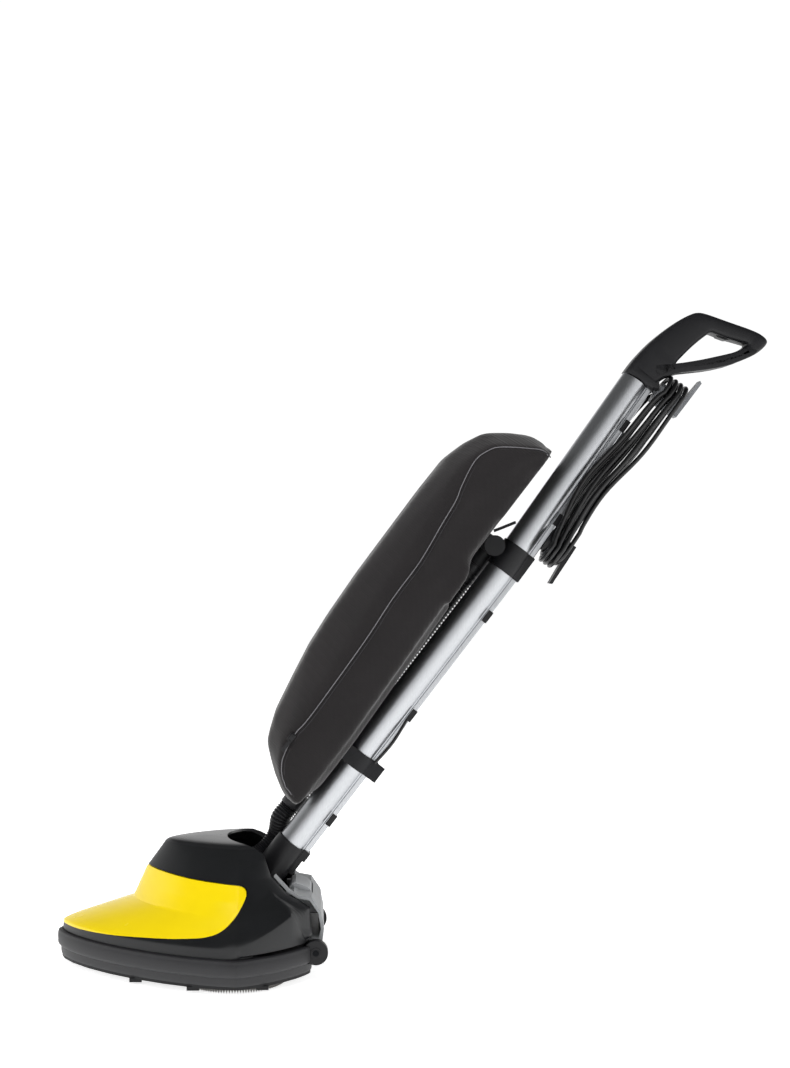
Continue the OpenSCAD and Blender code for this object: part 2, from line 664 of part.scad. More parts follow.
// Handle: a closed loop in the centre plane, in two halves
GRIP = [
    [-19.5, 0], [-19.5, 8], [-18.6, 24], [-14.6, 51], [-7.6, 77], [0.7, 100], [9, 116], [15, 124],
    [26, 129], [56, 137], [88, 146], [106, 148.5], [116, 146], [116, 134], [109, 116], [90, 88],
    [68, 65], [43.6, 44], [30, 23], [25, 8], [25, 0]
];
OPENING = [[30, 49], [36, 84], [44, 111], [70, 118], [96, 127], [89, 111], [71, 88], [53, 69]];
function raised(p, h) = [for (q = p) [q[0], q[1] + h]];
grip_edge = 5;
plug_in = 26;
module grip_half(side) in_up() {
    half = grip_w / 2;
    outer = raised(GRIP, upper_tube_len);
    inner = raised(cut_corners(OPENING), upper_tube_len);
    difference() {
        union() {
            slab(outer, side > 0 ? 0 : -half + grip_edge, side > 0 ? half - grip_edge : 0);
            rotate([90, 0, 0]) translate([0, 0, side > 0 ? -half : half - grip_edge])
                linear_extrude(grip_edge) offset(delta = -2.5) polygon(outer);
            intersection() {
                translate([0, 0, upper_tube_len - plug_in]) cylinder(r = tube_r - tube_wall - fit, h = plug_in);
                translate([-50, side > 0 ? 0 : -50, 0]) cube([100, 50, 500]);
            }
        }
        slab(inner, -half - 1, half + 1);
        switch_pocket();
        switch_axis() across(switch_pin_r + run, -switch_pin_len, switch_pin_len);
        translate([hook_pin_x - 0.5, 0, upper_hook_z]) rotate([0, 90, 0])
            cylinder(r = hook_pin_r + run, h = tube_back + 10);
    }
}
switch_x = 62;
switch_z = upper_tube_len + 121;
switch_half_w = 8;
SWITCH = [[52, 115], [56, 110], [66, 114.5], [72, 120], [70, 126], [54, 124]];
switch_pin_r = 1.5;
switch_pin_len = switch_half_w + 3;
module switch_axis() translate([switch_x, 0, switch_z]) children();
module switch_pocket() slab(raised([[48, 109], [74, 109], [76, 130], [48, 130]], upper_tube_len),
    -switch_half_w - 0.5, switch_half_w + 0.5);
module power_switch() color("#232426") in_up() union() {
    slab(raised(SWITCH, upper_tube_len), -switch_half_w, switch_half_w);
    switch_axis() across(switch_pin_r, 0.2 - switch_pin_len, switch_pin_len - 0.2);
}

relief_x = 12;
relief_y = 25;
relief_z = upper_tube_len + 18;
relief_len = 26;
relief_boss = 14;
module handle_left() color("#202123") grip_half(-1);
module handle_right() color("#202123") union() {
    grip_half(1);
    in_up() translate([relief_x - relief_boss / 2, grip_w / 2 - grip_edge, relief_z])
        cube([relief_boss, relief_y + relief_boss / 2 - grip_w / 2 + grip_edge, relief_boss]);
}
module strain_relief() color("#151516") in_up() translate([relief_x, relief_y, relief_z - relief_len])
    cylinder(r1 = cable_d / 2 + 0.8, r2 = 5.5, h = relief_len);

// Hank: loops round both drums in two layers, out along the drums and back.
// The inner strand lies at low_x at the lower hook and at high_x at the upper one.
strand_step = cable_d + strand_gap;
layer_step = strand_step + 0.2;
top_spread = 0.2;
layer_loops = hank_loops / 2;
hank_r = drum_r + 0.9 + cable_d / 2;
low_x = tube_back + 2.7 + cable_d / 2;
high_x = low_x + 7.9;
waist = 5;
per_loop = 24;
climb_bulge = 0.25;
upper_hook_z = upper_tube_len + upper_hook_rise;
hook_span = upper_hook_z - lower_hook_z;
function upness(z) = max(0, min(1, (z - lower_hook_z) / hook_span));
function strand_x(n, z) = low_x + (high_x - low_x) * upness(z) + n * (strand_step + top_spread * upness(z));
function climb(t) = max(0, min(1, (t - layer_loops) * 6));
function hank_point(i) = let (
        t = i / per_loop, k = i % per_loop, r = hank_r + layer_step * climb(t),
        n = layer_loops - abs(t - layer_loops) + climb_bulge * sin(180 * climb(t)),
        f = k < 4 ? (k + 0.5) / 4 : k < 12 ? (k - 3.5) / 8 : k < 16 ? (k - 11.5) / 4 : (k - 15.5) / 8,
        z = k < 4 ? upper_hook_z - hook_span * f : k < 12 ? lower_hook_z - r * sin(180 * f)
            : k < 16 ? lower_hook_z + hook_span * f : upper_hook_z + r * sin(180 * f),
        drawn = k < 4 || (k >= 12 && k < 16) ? waist * sin(180 * f) : 0,
        y = k < 4 ? r - drawn : k < 12 ? r * cos(180 * f) : k < 16 ? drawn - r : -r * cos(180 * f))
    [strand_x(n, z), y, z];
hank_path = [for (i = [1:hank_loops * per_loop + 1]) hank_point(i)];
hank_gap = min([for (i = [0:len(hank_path) - 1]) for (j = [i + 12:1:len(hank_path) - 1])
    norm(hank_path[i] - hank_path[j])]) - cable_d;
echo(least_gap_in_hank = hank_gap);  // cable_hank
module cable_hank() color("#121214") in_up() cord(hank_path, cable_d, 6, [1, 0, 0]);

// Free ends: from the strain relief into the hank, and from the hank to the plug
hank_first = hank_path[0];
hank_last = hank_path[len(hank_path) - 1];
first_way = unit(hank_path[1] - hank_first);
last_way = unit(hank_last - hank_path[len(hank_path) - 2]);
straight = cable_d + 1;
LEAD_IN = [
    [relief_x, relief_y, relief_z - relief_len], [relief_x, relief_y, relief_z - relief_len - 8],
    [15, 23.5, 268], [21, 20.5, 254], [28, 17.5, 241], [34, 15.8, 229]
];
TAIL = [[36.2, 25.6, 190], [36, 29.6, 178], [34.6, 33.8, 166], [33, 37.4, 155], [32.66, 39, 145.76], [34.6, 39, 138]];
module cable_ends() color("#131315") in_up() {
    cord(concat(LEAD_IN, [hank_first - straight * first_way, hank_first]), cable_d, 8, [1, 0.2, 0]);
    cord(concat([hank_last, hank_last + straight * last_way], TAIL), cable_d, 8, [1, 0.2, 0]);
}

// Cable hooks
hook_pin_r = 3.5;
hook_pin_x = 5;
hook_base = tube_back + 6;
hook_plate_t = 2;
paddle_w = 18;
paddle_t = 5;
paddle_back = 14;
upper_end = strand_x(layer_loops, upper_hook_z) + cable_d / 2 + 1;
lower_end = strand_x(layer_loops, lower_hook_z) + cable_d / 2 + 0.5;
module along_x(r, x0, x1) translate([x0, 0, 0]) rotate([0, 90, 0]) cylinder(r = r, h = x1 - x0);
module paddle(x, up) slab([[x, -paddle_back], [x + paddle_t, -paddle_back], [x + paddle_t + 1, 10],
    [x + paddle_t + 2, up], [x + 3, up + 2], [x, 14]], -paddle_w / 2, paddle_w / 2);
module upper_hook() color("#9a9c9e") in_up() translate([0, 0, upper_hook_z]) union() {
    along_x(hook_pin_r, hook_pin_x, hook_base);
    along_x(drum_r, hook_base, upper_end);
    paddle(upper_end, 44);
}
module lower_hook() color("#2c2d2f") in_up() translate([0, 0, lower_hook_z]) union() {
    along_x(drum_r, tube_back, lower_end);
    translate([tube_back, -rail_half_w, -16]) cube([hook_plate_t, 2 * rail_half_w, 32]);
    mirror([0, 0, 1]) paddle(lower_end, 46);
}

// Dust bag, as seen from the side in the frame of the lower tube. Its sides
// reach back towards the tube, with a hollow between them for hose and elbow.
bag_back = -7;
bag_edge = 13;
bag_shoulder = 545;
shoulder_drop = 40;
hollow_y0 = -10;
hollow_y1 = 41;
BAG_SIDE = [
    [bag_back, 722], [-24, 724], [-77, 686], [-88, 657], [-80, 600], [-66, 500], [-60, 400],
    [-57, 260], [-55, 205], [-42, 171], [-14, 150], [9, 144], [bag_edge, 148], [bag_edge, 256], [3, 500]
];
BAG_FRONT = [
    [bag_back, 726], [-25, 737], [-40, 733], [-67, 719], [-99, 695], [-110, 667], [-116, 637],
    [-116, 581], [-114, 439], [-109, 369], [-86, 216], [-73, 183], [-33, 153], [-10, 137],
    [bag_edge, 137], [bag_edge, 256], [3, 500]
];
bag_centre = [-58, 440];
function shrunk(points, d) = [for (p = points) let (q = p - bag_centre)
    bag_centre + [q[0] * (1 - d / 56), q[1] * (1 - d / 290)]];
module bag_form(d) difference() {
    hull() {
        slab(shrunk(BAG_SIDE, d), -bag_half_w + d, bag_half_w - d);
        slab(shrunk(BAG_FRONT, d), -bag_front_half_w + d, bag_front_half_w - d);
    }
    translate([bag_back - d, hollow_y0 - d, 0]) cube([60, hollow_y1 - hollow_y0 + 2 * d, 900]);
    slab([[bag_back - d, bag_shoulder], [bag_edge - d, bag_shoulder - shoulder_drop],
        [60, bag_shoulder - shoulder_drop], [60, 900], [bag_back - d, 900]], -base_w, base_w);
}
elbow_r = 12;
elbow_x = 5.5;
neck_x = -24;
module dust_bag() color("#2b2728") in_low() difference() {
    bag_form(0);
    bag_form(bag_wall);
    translate([-40, 0, knee_z]) rotate([0, 90, 0]) cylinder(r = elbow_r + fit, h = 60);
}
module filter_bag() color("#c9b48a") in_low() difference() {
    bag_form(14);
    bag_form(15);
    translate([-40, 0, knee_z]) rotate([0, 90, 0]) cylinder(r = elbow_r + fit, h = 60);
}

// Elbow that turns the air from the hose into the bag
hose_x = 8;
hose_y = 23;
cap_r = 14;
cap_x = 8;
socket_h = 34;
saddle_half_w = 9;
saddle_half_h = 11;
module bag_elbow() color("#1c1c1e") in_low() difference() {
    union() {
        translate([elbow_x, 0, knee_z]) across(elbow_r, -26, hose_y + hose_r);
        translate([cap_x, 0, knee_z]) across(cap_r, -35, -26);
        translate([neck_x, 0, knee_z]) rotate([0, 90, 0]) cylinder(r = elbow_r, h = elbow_x - neck_x);
        translate([hose_x, hose_y, knee_z - socket_h]) cylinder(r = hose_r, h = socket_h);
        translate([elbow_x, -saddle_half_w, knee_z - saddle_half_h])
            cube([tube_off - tube_r, 2 * saddle_half_w, 2 * saddle_half_h]);
    }
    translate([elbow_x, 0, knee_z]) across(elbow_r - 2.5, -24, hose_y + hose_r - 2);
    translate([neck_x - 1, 0, knee_z]) rotate([0, 90, 0]) cylinder(r = elbow_r - 2.5, h = elbow_x - neck_x + 1);
    translate([hose_x, hose_y, knee_z - socket_h - 1]) cylinder(r = hose_bore_r, h = socket_h + 1);
    in_collar() collar_outline();
}

// Hose along the tube: a straight ribbed length, then a cuff
cuff_top = 150;
cuff_h = 24;
rib_depth = 2;
hose_top = knee_z - socket_h;
function rib_heights(z0, z1) = let (n = floor((z1 - z0 - hose_r) / rib_pitch))
    [for (i = [0:2 * n]) z0 + hose_r / 2 + i * (z1 - z0 - hose_r) / (2 * n)];
module suction_hose() color("#17171a") in_low() {
    heights = concat([cuff_top], rib_heights(cuff_top, hose_top), [hose_top]);
    last = len(heights) - 1;
    bored_cord([for (z = heights) [hose_x, hose_y, z]],
        [for (i = [0:last]) i == 0 || i == last || i % 2 == 0 ? hose_r - rib_depth : hose_r],
        hose_bore_r, 8, [0, 1, 0]);
    translate([hose_x, hose_y, cuff_top - cuff_h]) tube(hose_r + 0.5, hose_bore_r, cuff_h + 0.1);
}

// Flexible length from the fan's outlet to the cuff, at the resting tilt
function to_base(p) = [p[0] * cos(rest_tilt) + p[2] * sin(rest_tilt), p[1],
    pivot_z - p[0] * sin(rest_tilt) + p[2] * cos(rest_tilt)];
flex_end = 20;
flex_gap = 0.3;
FLEX = [
    [outlet_x, outlet_y, outlet_z], [outlet_x + flex_end, outlet_y, outlet_z],
    [52, 34, outlet_z + 10.5], [66, 36, outlet_z + 30.5],
    to_base([hose_x, hose_y, cuff_top - cuff_h - flex_gap - flex_end]),
    to_base([hose_x, hose_y, cuff_top - cuff_h - flex_gap])
];
function spline(p, t) = let (n = len(p) - 1, i = min(floor(t), n - 1), f = t - i,
    a = p[max(i - 1, 0)], b = p[i], c = p[i + 1], d = p[min(i + 2, n)])
    0.5 * (2 * b + (c - a) * f + (2 * a - 5 * b + 4 * c - d) * f * f + (3 * b - a - 3 * c + d) * f * f * f);
end_steps = 4;
bend_steps = 6;
flex_path = concat(
    [for (i = [0:end_steps - 1]) FLEX[0] + (FLEX[1] - FLEX[0]) * i / end_steps],
    [for (i = [0:3 * bend_steps]) spline(FLEX, 1 + i / bend_steps)],
    [for (i = [1:end_steps]) FLEX[4] + (FLEX[5] - FLEX[4]) * i / end_steps]);
module hose_flex() color("#17171a") placed() bored_cord(flex_path,
    [for (i = [0:len(flex_path) - 1]) i % 2 == 0 ? hose_r - rib_depth : hose_r], hose_bore_r, 8, [0, 1, 0]);

// Strap round the tube, sewn to the back of the bag
strap_z = 238;
strap_h = 24;
strap_t = 1.5;
strap_gap = 1;
strap_r = tube_r + strap_gap;
strap_end = tube_back + strap_gap + strap_t;
strap_tab = 11;
wing = tube_off - bag_edge;
module strap() color("#18181a") in_low() translate([tube_off, 0, strap_z - strap_h / 2]) {
    difference() {
        linear_extrude(strap_h) union() {
            circle(r = strap_r + strap_t);
            translate([0, -rail_half_w - strap_gap - strap_t])
                square([strap_end, 2 * (rail_half_w + strap_gap + strap_t)]);
            translate([-wing, -strap_r - strap_t]) square([wing, strap_r]);
        }
        translate([0, 0, -1]) linear_extrude(strap_h + 2) union() {
            circle(r = strap_r);
            translate([0, -rail_half_w - strap_gap])
                square([strap_end - strap_t, 2 * (rail_half_w + strap_gap)]);
            translate([-wing - 1, -strap_r]) square([wing, strap_r - 1]);
        }
    }
    translate([strap_end, -rail_half_w, 0]) cube([strap_tab, strap_t, strap_h]);
}

// Plug
plug_len = 38;
plug_r = 9;
plug_pin_r = 2.4;
plug_pin_len = 19;
plug_pins = 19;
plug_end = TAIL[len(TAIL) - 1];
plug_side = 8;
// Tilt that swings the pins clear of the base, so that a socket can reach them
plug_tilt = 14;
module plug() color("#161618") in_up() translate(plug_end) rotate([0, -plug_tilt, 0]) mirror([0, 0, 1]) {
    cylinder(r1 = cable_d / 2 + 1, r2 = plug_r, h = plug_len / 2);
    translate([-plug_r - plug_side, -plug_r, plug_len / 2])
        cube([2 * (plug_r + plug_side), 2 * plug_r, plug_len / 2]);
    for (s = [-1, 1]) translate([s * plug_pins / 2, 0, plug_len]) cylinder(r = plug_pin_r, h = plug_pin_len);
}

chassis();
bumper();
upper_housing();
front_hood();
rear_panel();
motor_plate();
stator();
motor_cap();
carbon_brushes();
fan_housing();
bearings();
terminal_block();
belt(0);  // belt_front
belt(1);  // belt_left
belt(2);  // belt_right
pivot_pins();
wheel_axles();
plate_screws();
pedal_pin();
pedal_spring();
spindle(0);  // spindle_front
disc_pulley(0);  // pulley_front
pad_holder(0);  // holder_front
pad(0);  // pad_front
spindle(1);  // spindle_left
disc_pulley(1);  // pulley_left
pad_holder(1);  // holder_left
pad(1);  // pad_left
spindle(2);  // spindle_right
disc_pulley(2);  // pulley_right
pad_holder(2);  // holder_right
pad(2);  // pad_right
armature();
motor_pulley();
fan_wheel();
wheel(-1);  // wheel_left
wheel(1);  // wheel_right
release_pedal();
foot_yoke();
lower_tube();
upper_tube();
tube_joiner();
collar();
cable_clips();
motor_lead();
handle_left();
handle_right();
power_switch();
upper_hook();
lower_hook();
dust_bag();
filter_bag();
bag_elbow();
suction_hose();
hose_flex();
strap();
strain_relief();
cable_ends();
cable_hank();
plug();
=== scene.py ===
"""Floor polisher with three discs and a dust bag: the finished pieces over the CAD frame."""
import json
import math

import bmesh
import bpy
from mathutils import Matrix, Vector
from mathutils.bvhtree import BVHTree

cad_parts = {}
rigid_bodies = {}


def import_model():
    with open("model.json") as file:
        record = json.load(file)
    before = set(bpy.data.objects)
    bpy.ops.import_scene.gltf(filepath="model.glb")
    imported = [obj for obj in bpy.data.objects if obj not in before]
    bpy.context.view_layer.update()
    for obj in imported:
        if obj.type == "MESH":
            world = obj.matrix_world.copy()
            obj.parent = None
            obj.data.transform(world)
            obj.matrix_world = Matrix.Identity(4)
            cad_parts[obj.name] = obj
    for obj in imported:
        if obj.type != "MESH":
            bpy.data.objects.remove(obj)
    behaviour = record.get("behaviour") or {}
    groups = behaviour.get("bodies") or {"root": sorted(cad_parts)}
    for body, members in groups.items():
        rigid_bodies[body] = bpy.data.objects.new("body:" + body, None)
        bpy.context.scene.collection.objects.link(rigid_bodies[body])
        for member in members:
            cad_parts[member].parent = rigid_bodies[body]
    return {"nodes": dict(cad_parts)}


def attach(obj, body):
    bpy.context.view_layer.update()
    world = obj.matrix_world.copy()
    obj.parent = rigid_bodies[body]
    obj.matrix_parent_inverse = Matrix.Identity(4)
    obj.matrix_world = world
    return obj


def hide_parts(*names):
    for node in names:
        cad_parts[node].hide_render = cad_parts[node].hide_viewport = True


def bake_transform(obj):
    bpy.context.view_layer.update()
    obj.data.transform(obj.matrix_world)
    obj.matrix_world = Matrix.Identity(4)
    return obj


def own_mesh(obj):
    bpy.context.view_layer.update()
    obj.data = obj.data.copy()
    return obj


for spare in list(bpy.data.objects):
    bpy.data.objects.remove(spare)
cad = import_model()["nodes"]
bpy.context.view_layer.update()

# Studio: a white floor and a white wall all round, under a dim ceiling with
# softboxes. The camera stands level beside the machine, 2 m from its centre
# plane, and looks straight across it.
eye = bpy.data.cameras.new("camera")
eye.sensor_width = 36
eye.lens = 50.29
eye.shift_x = 0.0777
eye.clip_end = 100
camera = bpy.data.objects.new("camera", eye)
camera.location = (-0.1364, -2.044, 0.585)
camera.rotation_euler = (math.radians(90), 0, 0)
bpy.context.collection.objects.link(camera)
bpy.context.scene.camera = camera


def linear(shade):
    """An sRGB hex colour as linear light."""
    parts = [int(shade[i:i + 2], 16) / 255 for i in (1, 3, 5)]
    return [p / 12.92 if p <= 0.04045 else ((p + 0.055) / 1.055) ** 2.4 for p in parts] + [1]


def add(tree, kind, links=(), **settings):
    """A node with its settings and links. Names of inputs are written with underscores."""
    node = tree.nodes.new(kind)
    for key, value in settings.items():
        if hasattr(node, key):
            setattr(node, key, value)
        else:
            node.inputs[key.replace("_", " ")].default_value = value
    for socket, source in dict(links).items():
        tree.links.new(source, node.inputs[socket])
    return node


def blank(name, shade, roughness, **sockets):
    """A material with its shader, and the tree to add a pattern to."""
    finish = bpy.data.materials.new(name)
    finish.use_nodes = True
    finish.node_tree.nodes.clear()
    shader = add(finish.node_tree, "ShaderNodeBsdfPrincipled", Base_Color=linear(shade), Roughness=roughness)
    for key, value in sockets.items():
        shader.inputs[key.replace("_", " ")].default_value = value
    add(finish.node_tree, "ShaderNodeOutputMaterial", {"Surface": shader.outputs[0]})
    return finish, finish.node_tree, shader


def toned(tree, shader, pattern, low, high):
    """Lets the colour follow a pattern between two shades."""
    mix = add(tree, "ShaderNodeMix", {"Factor": pattern}, data_type="RGBA")
    mix.inputs[6].default_value = linear(low)
    mix.inputs[7].default_value = linear(high)
    tree.links.new(mix.outputs[2], shader.inputs["Base Color"])


def raised(tree, shader, pattern, strength, distance):
    """Lets the surface rise and fall with a pattern, its height in metres."""
    bump = add(tree, "ShaderNodeBump", {"Height": pattern}, Strength=strength, Distance=distance)
    tree.links.new(bump.outputs[0], shader.inputs["Normal"])


def roughened(tree, shader, pattern, low, high):
    """Lets the roughness follow a pattern."""
    rough = add(tree, "ShaderNodeMapRange", {"Value": pattern}, To_Min=low, To_Max=high)
    tree.links.new(rough.outputs[0], shader.inputs["Roughness"])


floor_mesh = bpy.data.meshes.new("floor")
floor_bm = bmesh.new()
bmesh.ops.create_circle(floor_bm, cap_ends=True, radius=40, segments=64)
floor_bm.to_mesh(floor_mesh)
floor_bm.free()
floor = bpy.data.objects.new("floor", floor_mesh)
bpy.context.collection.objects.link(floor)
floor_mesh.materials.append(blank("white floor, lit from below", "#ffffff", 0.9, Emission_Color=(1, 1, 1, 1),
                                  Emission_Strength=0.78)[0])

sky = bpy.data.worlds.new("studio")
sky.use_nodes = True
sky_tree = sky.node_tree
ahead = add(sky_tree, "ShaderNodeTexCoord")
height = add(sky_tree, "ShaderNodeSeparateXYZ", {"Vector": ahead.outputs["Generated"]})
near = add(sky_tree, "ShaderNodeMapRange", {"Value": height.outputs["Y"]}, From_Min=-0.5, From_Max=0,
           To_Min=0.26, To_Max=0)
level = add(sky_tree, "ShaderNodeMath", {0: height.outputs["Z"], 1: near.outputs[0]}, operation="ADD")
wall = add(sky_tree, "ShaderNodeMapRange", {"Value": level.outputs[0]}, From_Min=0.345, From_Max=0.6,
           To_Min=1.04, To_Max=0.1)
sky_tree.links.new(wall.outputs[0], sky_tree.nodes["Background"].inputs["Strength"])
sky_tree.nodes["Background"].inputs["Color"].default_value = (1, 1, 1, 1)
bpy.context.scene.world = sky
bpy.context.scene.view_settings.view_transform = "Standard"
for name, place, aim, wide, high, power in [
    ("top softbox", (-0.5, -0.5, 2.5), (-0.1, 0, 0.3), 1.6, 1.2, 38),
    ("rear softbox", (2.4, -1.2, 1.2), (0.1, 0, 0.4), 0.8, 1.8, 16),
    ("front softbox", (-1.9, -2.0, 1.5), (-0.2, 0, 0.2), 1.0, 1.0, 20),
]:
    lamp = bpy.data.lights.new(name, "AREA")
    lamp.shape, lamp.size, lamp.size_y, lamp.energy = "RECTANGLE", wide, high, power
    light = bpy.data.objects.new(name, lamp)
    light.location = place
    light.visible_glossy = False
    light.rotation_euler = (Vector(aim) - Vector(place)).to_track_quat("-Z", "Y").to_euler()
    bpy.context.collection.objects.link(light)

# Chassis: a black ABS tray with a skirt, moulded in one piece with its feet,
# bearing bosses and posts. It carries the motor plate on four screws.
BASE = Matrix.Translation((-0.2504, 0, 0)) @ Matrix.Scale(0.001, 4)


def grained(name, shade, lighter, roughness, grain, depth, **sockets):
    """Moulded plastic or rubber: the mould's spark-eroded grain, its size in mm,
    with a slight change of tone over some 30 mm."""
    finish, tree, shader = blank(name, shade, roughness, **{"Specular_IOR_Level": 0.28, **sockets})
    place = add(tree, "ShaderNodeTexCoord")
    tone = add(tree, "ShaderNodeTexNoise", {"Vector": place.outputs["Object"]}, Scale=33, Detail=3)
    toned(tree, shader, tone.outputs["Fac"], shade, lighter)
    eroded = add(tree, "ShaderNodeTexNoise", {"Vector": place.outputs["Object"]},
                 Scale=1000 / grain, Detail=2)
    raised(tree, shader, eroded.outputs["Fac"], depth, grain / 5000)
    roughened(tree, shader, tone.outputs["Fac"], roughness - 0.04, roughness + 0.05)
    return finish


def dress(finish, slot, *names):
    """Gives CAD nodes their finish."""
    for name in names:
        cad[name].data.materials.clear()
        cad[name].data.materials.append(finish)
        for face in cad[name].data.polygons:
            face.material_index = 0


chassis_black = grained("black ABS, fine grain", "#121213", "#19191b", 0.55, 1.4, 0.25)
dress(chassis_black, "housing_black", "chassis")

# Base castings and fasteners: the plate, pins, spindles and bearings are
# turned or stamped steel, zinc plated, with faint lines left by the tools.
def machined(name, shade, darker, roughness, line, stretch=(1, 1, 12)):
    """Metal with tool or drawing lines, their spacing in mm."""
    finish, tree, shader = blank(name, shade, roughness, Metallic=1.0)
    place = add(tree, "ShaderNodeTexCoord")
    turn = add(tree, "ShaderNodeMapping", {"Vector": place.outputs["Object"]}, Scale=stretch)
    lines = add(tree, "ShaderNodeTexNoise", {"Vector": turn.outputs[0]}, Scale=1000 / line / 8, Detail=4)
    toned(tree, shader, lines.outputs["Fac"], darker, shade)
    raised(tree, shader, lines.outputs["Fac"], 0.15, 0.0002)
    return finish


zinc_steel = machined("zinc-plated steel, turned", "#b9bcc0", "#8d9196", 0.32, 1.0)
dress(zinc_steel, "steel", "motor_plate", "bearings", "pivot_pins", "plate_screws", "pedal_pin",
      "spindle_front", "spindle_left", "spindle_right")
dress(machined("blackened steel, turned", "#1d1e20", "#141516", 0.4, 1.0), "steel", "wheel_axles")

# Motor: a laminated steel stator and a wound armature under a moulded cap,
# with two carbon brushes. It stands on the plate and is hidden by the hood.
lamination = machined("laminated electrical steel, stacked", "#6d6f72", "#4c4e52", 0.45, 1.0, (1, 1, 60))
winding = machined("enamelled copper wire, wound", "#b4713a", "#7d4a22", 0.35, 1.2, (1, 1, 20))
motor_black = grained("glass-filled nylon, satin", "#2a2b2e", "#333539", 0.5, 1.8, 0.3)
carbon = grained("pressed carbon, matt", "#161617", "#242425", 0.75, 0.8, 0.4)
dress(lamination, "lamination_steel", "stator")
dress(winding, "copper_winding", "armature")
dress(motor_black, "pulley_black", "motor_cap", "fan_housing", "motor_pulley", "pulley_front", "pulley_left",
      "pulley_right", "fan_wheel")
dress(carbon, "carbon", "carbon_brushes")
block_cream = grained("urea terminal block, cream", "#d8d3c4", "#e4e0d2", 0.5, 1.5, 0.2)
dress(block_cream, "holder_grey", "terminal_block")

# Drive belts: black neoprene with a ground back, stretched over the pulleys.
# One runs from the motor's pulley to each of the three discs.
belt_rubber = grained("neoprene belt, ground back", "#141414", "#1e1e1e", 0.75, 1.0, 0.5)
dress(belt_rubber, "belt_rubber", "belt_front", "belt_left", "belt_right")

# Polishing discs: each a light grey polypropylene holder on its spindle. It
# carries the felt pad.
holder_grey = grained("polypropylene, light grey", "#a9a9a4", "#b6b6b1", 0.5, 1.5, 0.3)
dress(holder_grey, "holder_grey", "holder_front", "holder_left", "holder_right")


def angles(count, shift=0):
    """Even steps round a full turn."""
    return [2 * math.pi * (j + shift) / count for j in range(count)]


def ring(bm, places):
    """A closed row of edges through the given places."""
    corners = [bm.verts.new(p) for p in places]
    return [bm.edges.new(pair) for pair in zip(corners, corners[1:] + corners[:1])]


def skin(bm, rings, caps=True):
    """Joins rings one after the other, and closes both ends."""
    for a, b in zip(rings, rings[1:]):
        bmesh.ops.bridge_loops(bm, edges=a + b)
    if caps:
        bmesh.ops.contextual_create(bm, geom=rings[0])
        bmesh.ops.contextual_create(bm, geom=rings[-1])


def fit(bm, name, frame, finish, body, slot, *stands_for, crisp=35, rounding=0, outward=True):
    """Finishes a mesh modelled in mm in one of the machine's frames: puts it in
    place, sets it on its body, and hides the CAD nodes that it stands for."""
    bmesh.ops.remove_doubles(bm, verts=bm.verts, dist=0.001)
    if outward:
        bmesh.ops.recalc_face_normals(bm, faces=bm.faces)
    bm.transform(frame)
    mesh = bpy.data.meshes.new(name)
    bm.to_mesh(mesh)
    bm.free()
    mesh.materials.append(finish)
    mesh.shade_smooth()
    mesh.set_sharp_from_angle(angle=math.radians(crisp))
    piece = bpy.data.objects.new(name, mesh)
    bpy.context.collection.objects.link(piece)
    if rounding:
        edge = piece.modifiers.new("rounded edges", "BEVEL")
        edge.width = rounding / 1000
        edge.segments = 3
        edge.harden_normals = False
        edge.limit_method = "ANGLE"
        edge.angle_limit = math.radians(crisp)
    if body:
        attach(piece, body)
    if stands_for:
        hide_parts(*stands_for)
    return piece


# Pads: pressed wool felt, 138 mm across. Their lower rim is cut into short
# teeth, which show as a grey fringe under the skirt.
felt, felt_tree, felt_shader = blank("pressed wool felt, grey", "#5e5c58", 0.95)
felt_shader.inputs["Sheen Weight"].default_value = 0.4
felt_place = add(felt_tree, "ShaderNodeTexCoord")
fibres = add(felt_tree, "ShaderNodeTexNoise", {"Vector": felt_place.outputs["Object"]}, Scale=900, Detail=6)
raised(felt_tree, felt_shader, fibres.outputs["Fac"], 0.6, 0.0008)
TEETH = 120
DISCS = [("front", -120.7, 0), ("left", 12.35, -76.8), ("right", 12.35, 76.8)]
PAD = [  # radius, then height of the teeth's tips and of the gaps between them
    (60, 5, 5), (65.5, 0.0, 4.5), (68.6, 0.0, 5.5), (69, 7.5, 7.5), (68, 9, 9), (15, 9, 9)]
for name, across, aside in DISCS:
    bm = bmesh.new()
    rows = []
    for radius, tip_z, gap_z in PAD:
        rows.append(ring(bm, [(across + radius * math.cos(a), aside + radius * math.sin(a),
                               gap_z if i % 2 else tip_z) for i, a in enumerate(angles(2 * TEETH))]))
    skin(bm, rows)
    fit(bm, "pad_" + name + "_felt", BASE, felt, "disc_" + name, "pad_felt", "pad_" + name, crisp=20)

# Bumper: a grey-black band of soft PVC, pressed over the skirt. It has two
# tiers, of which the lower one stands back, and cuts for wheels and axles.
SIDE, NOSE, TAIL, TAIL_W, WIDEST = 165, 234, 118, 83, 18
STEPS = 26


def half_round(nose, side, tail, tail_w):
    """Half of an outline of the base, from the nose round to the rear corner."""
    front = [(WIDEST - (WIDEST + nose) * math.cos(a) ** 1.38, side * math.sin(a) ** 1.38)
             for a in (math.radians(90 * i / STEPS) for i in range(STEPS))]
    back = [(WIDEST + (tail - WIDEST) * math.sin(a) ** 1.5, tail_w + (side - tail_w) * math.cos(a) ** 1.5)
            for a in (math.radians(90 * i / STEPS) for i in range(STEPS + 1))]
    return front + back


def all_round(half):
    """Half an outline and its mirror image."""
    return half + [(x, -y) for x, y in half[:0:-1]]


def outline(inset):
    """The base's outline, drawn in by so many mm."""
    return all_round(half_round(NOSE - inset, SIDE - inset, TAIL - inset, TAIL_W - inset / 2))


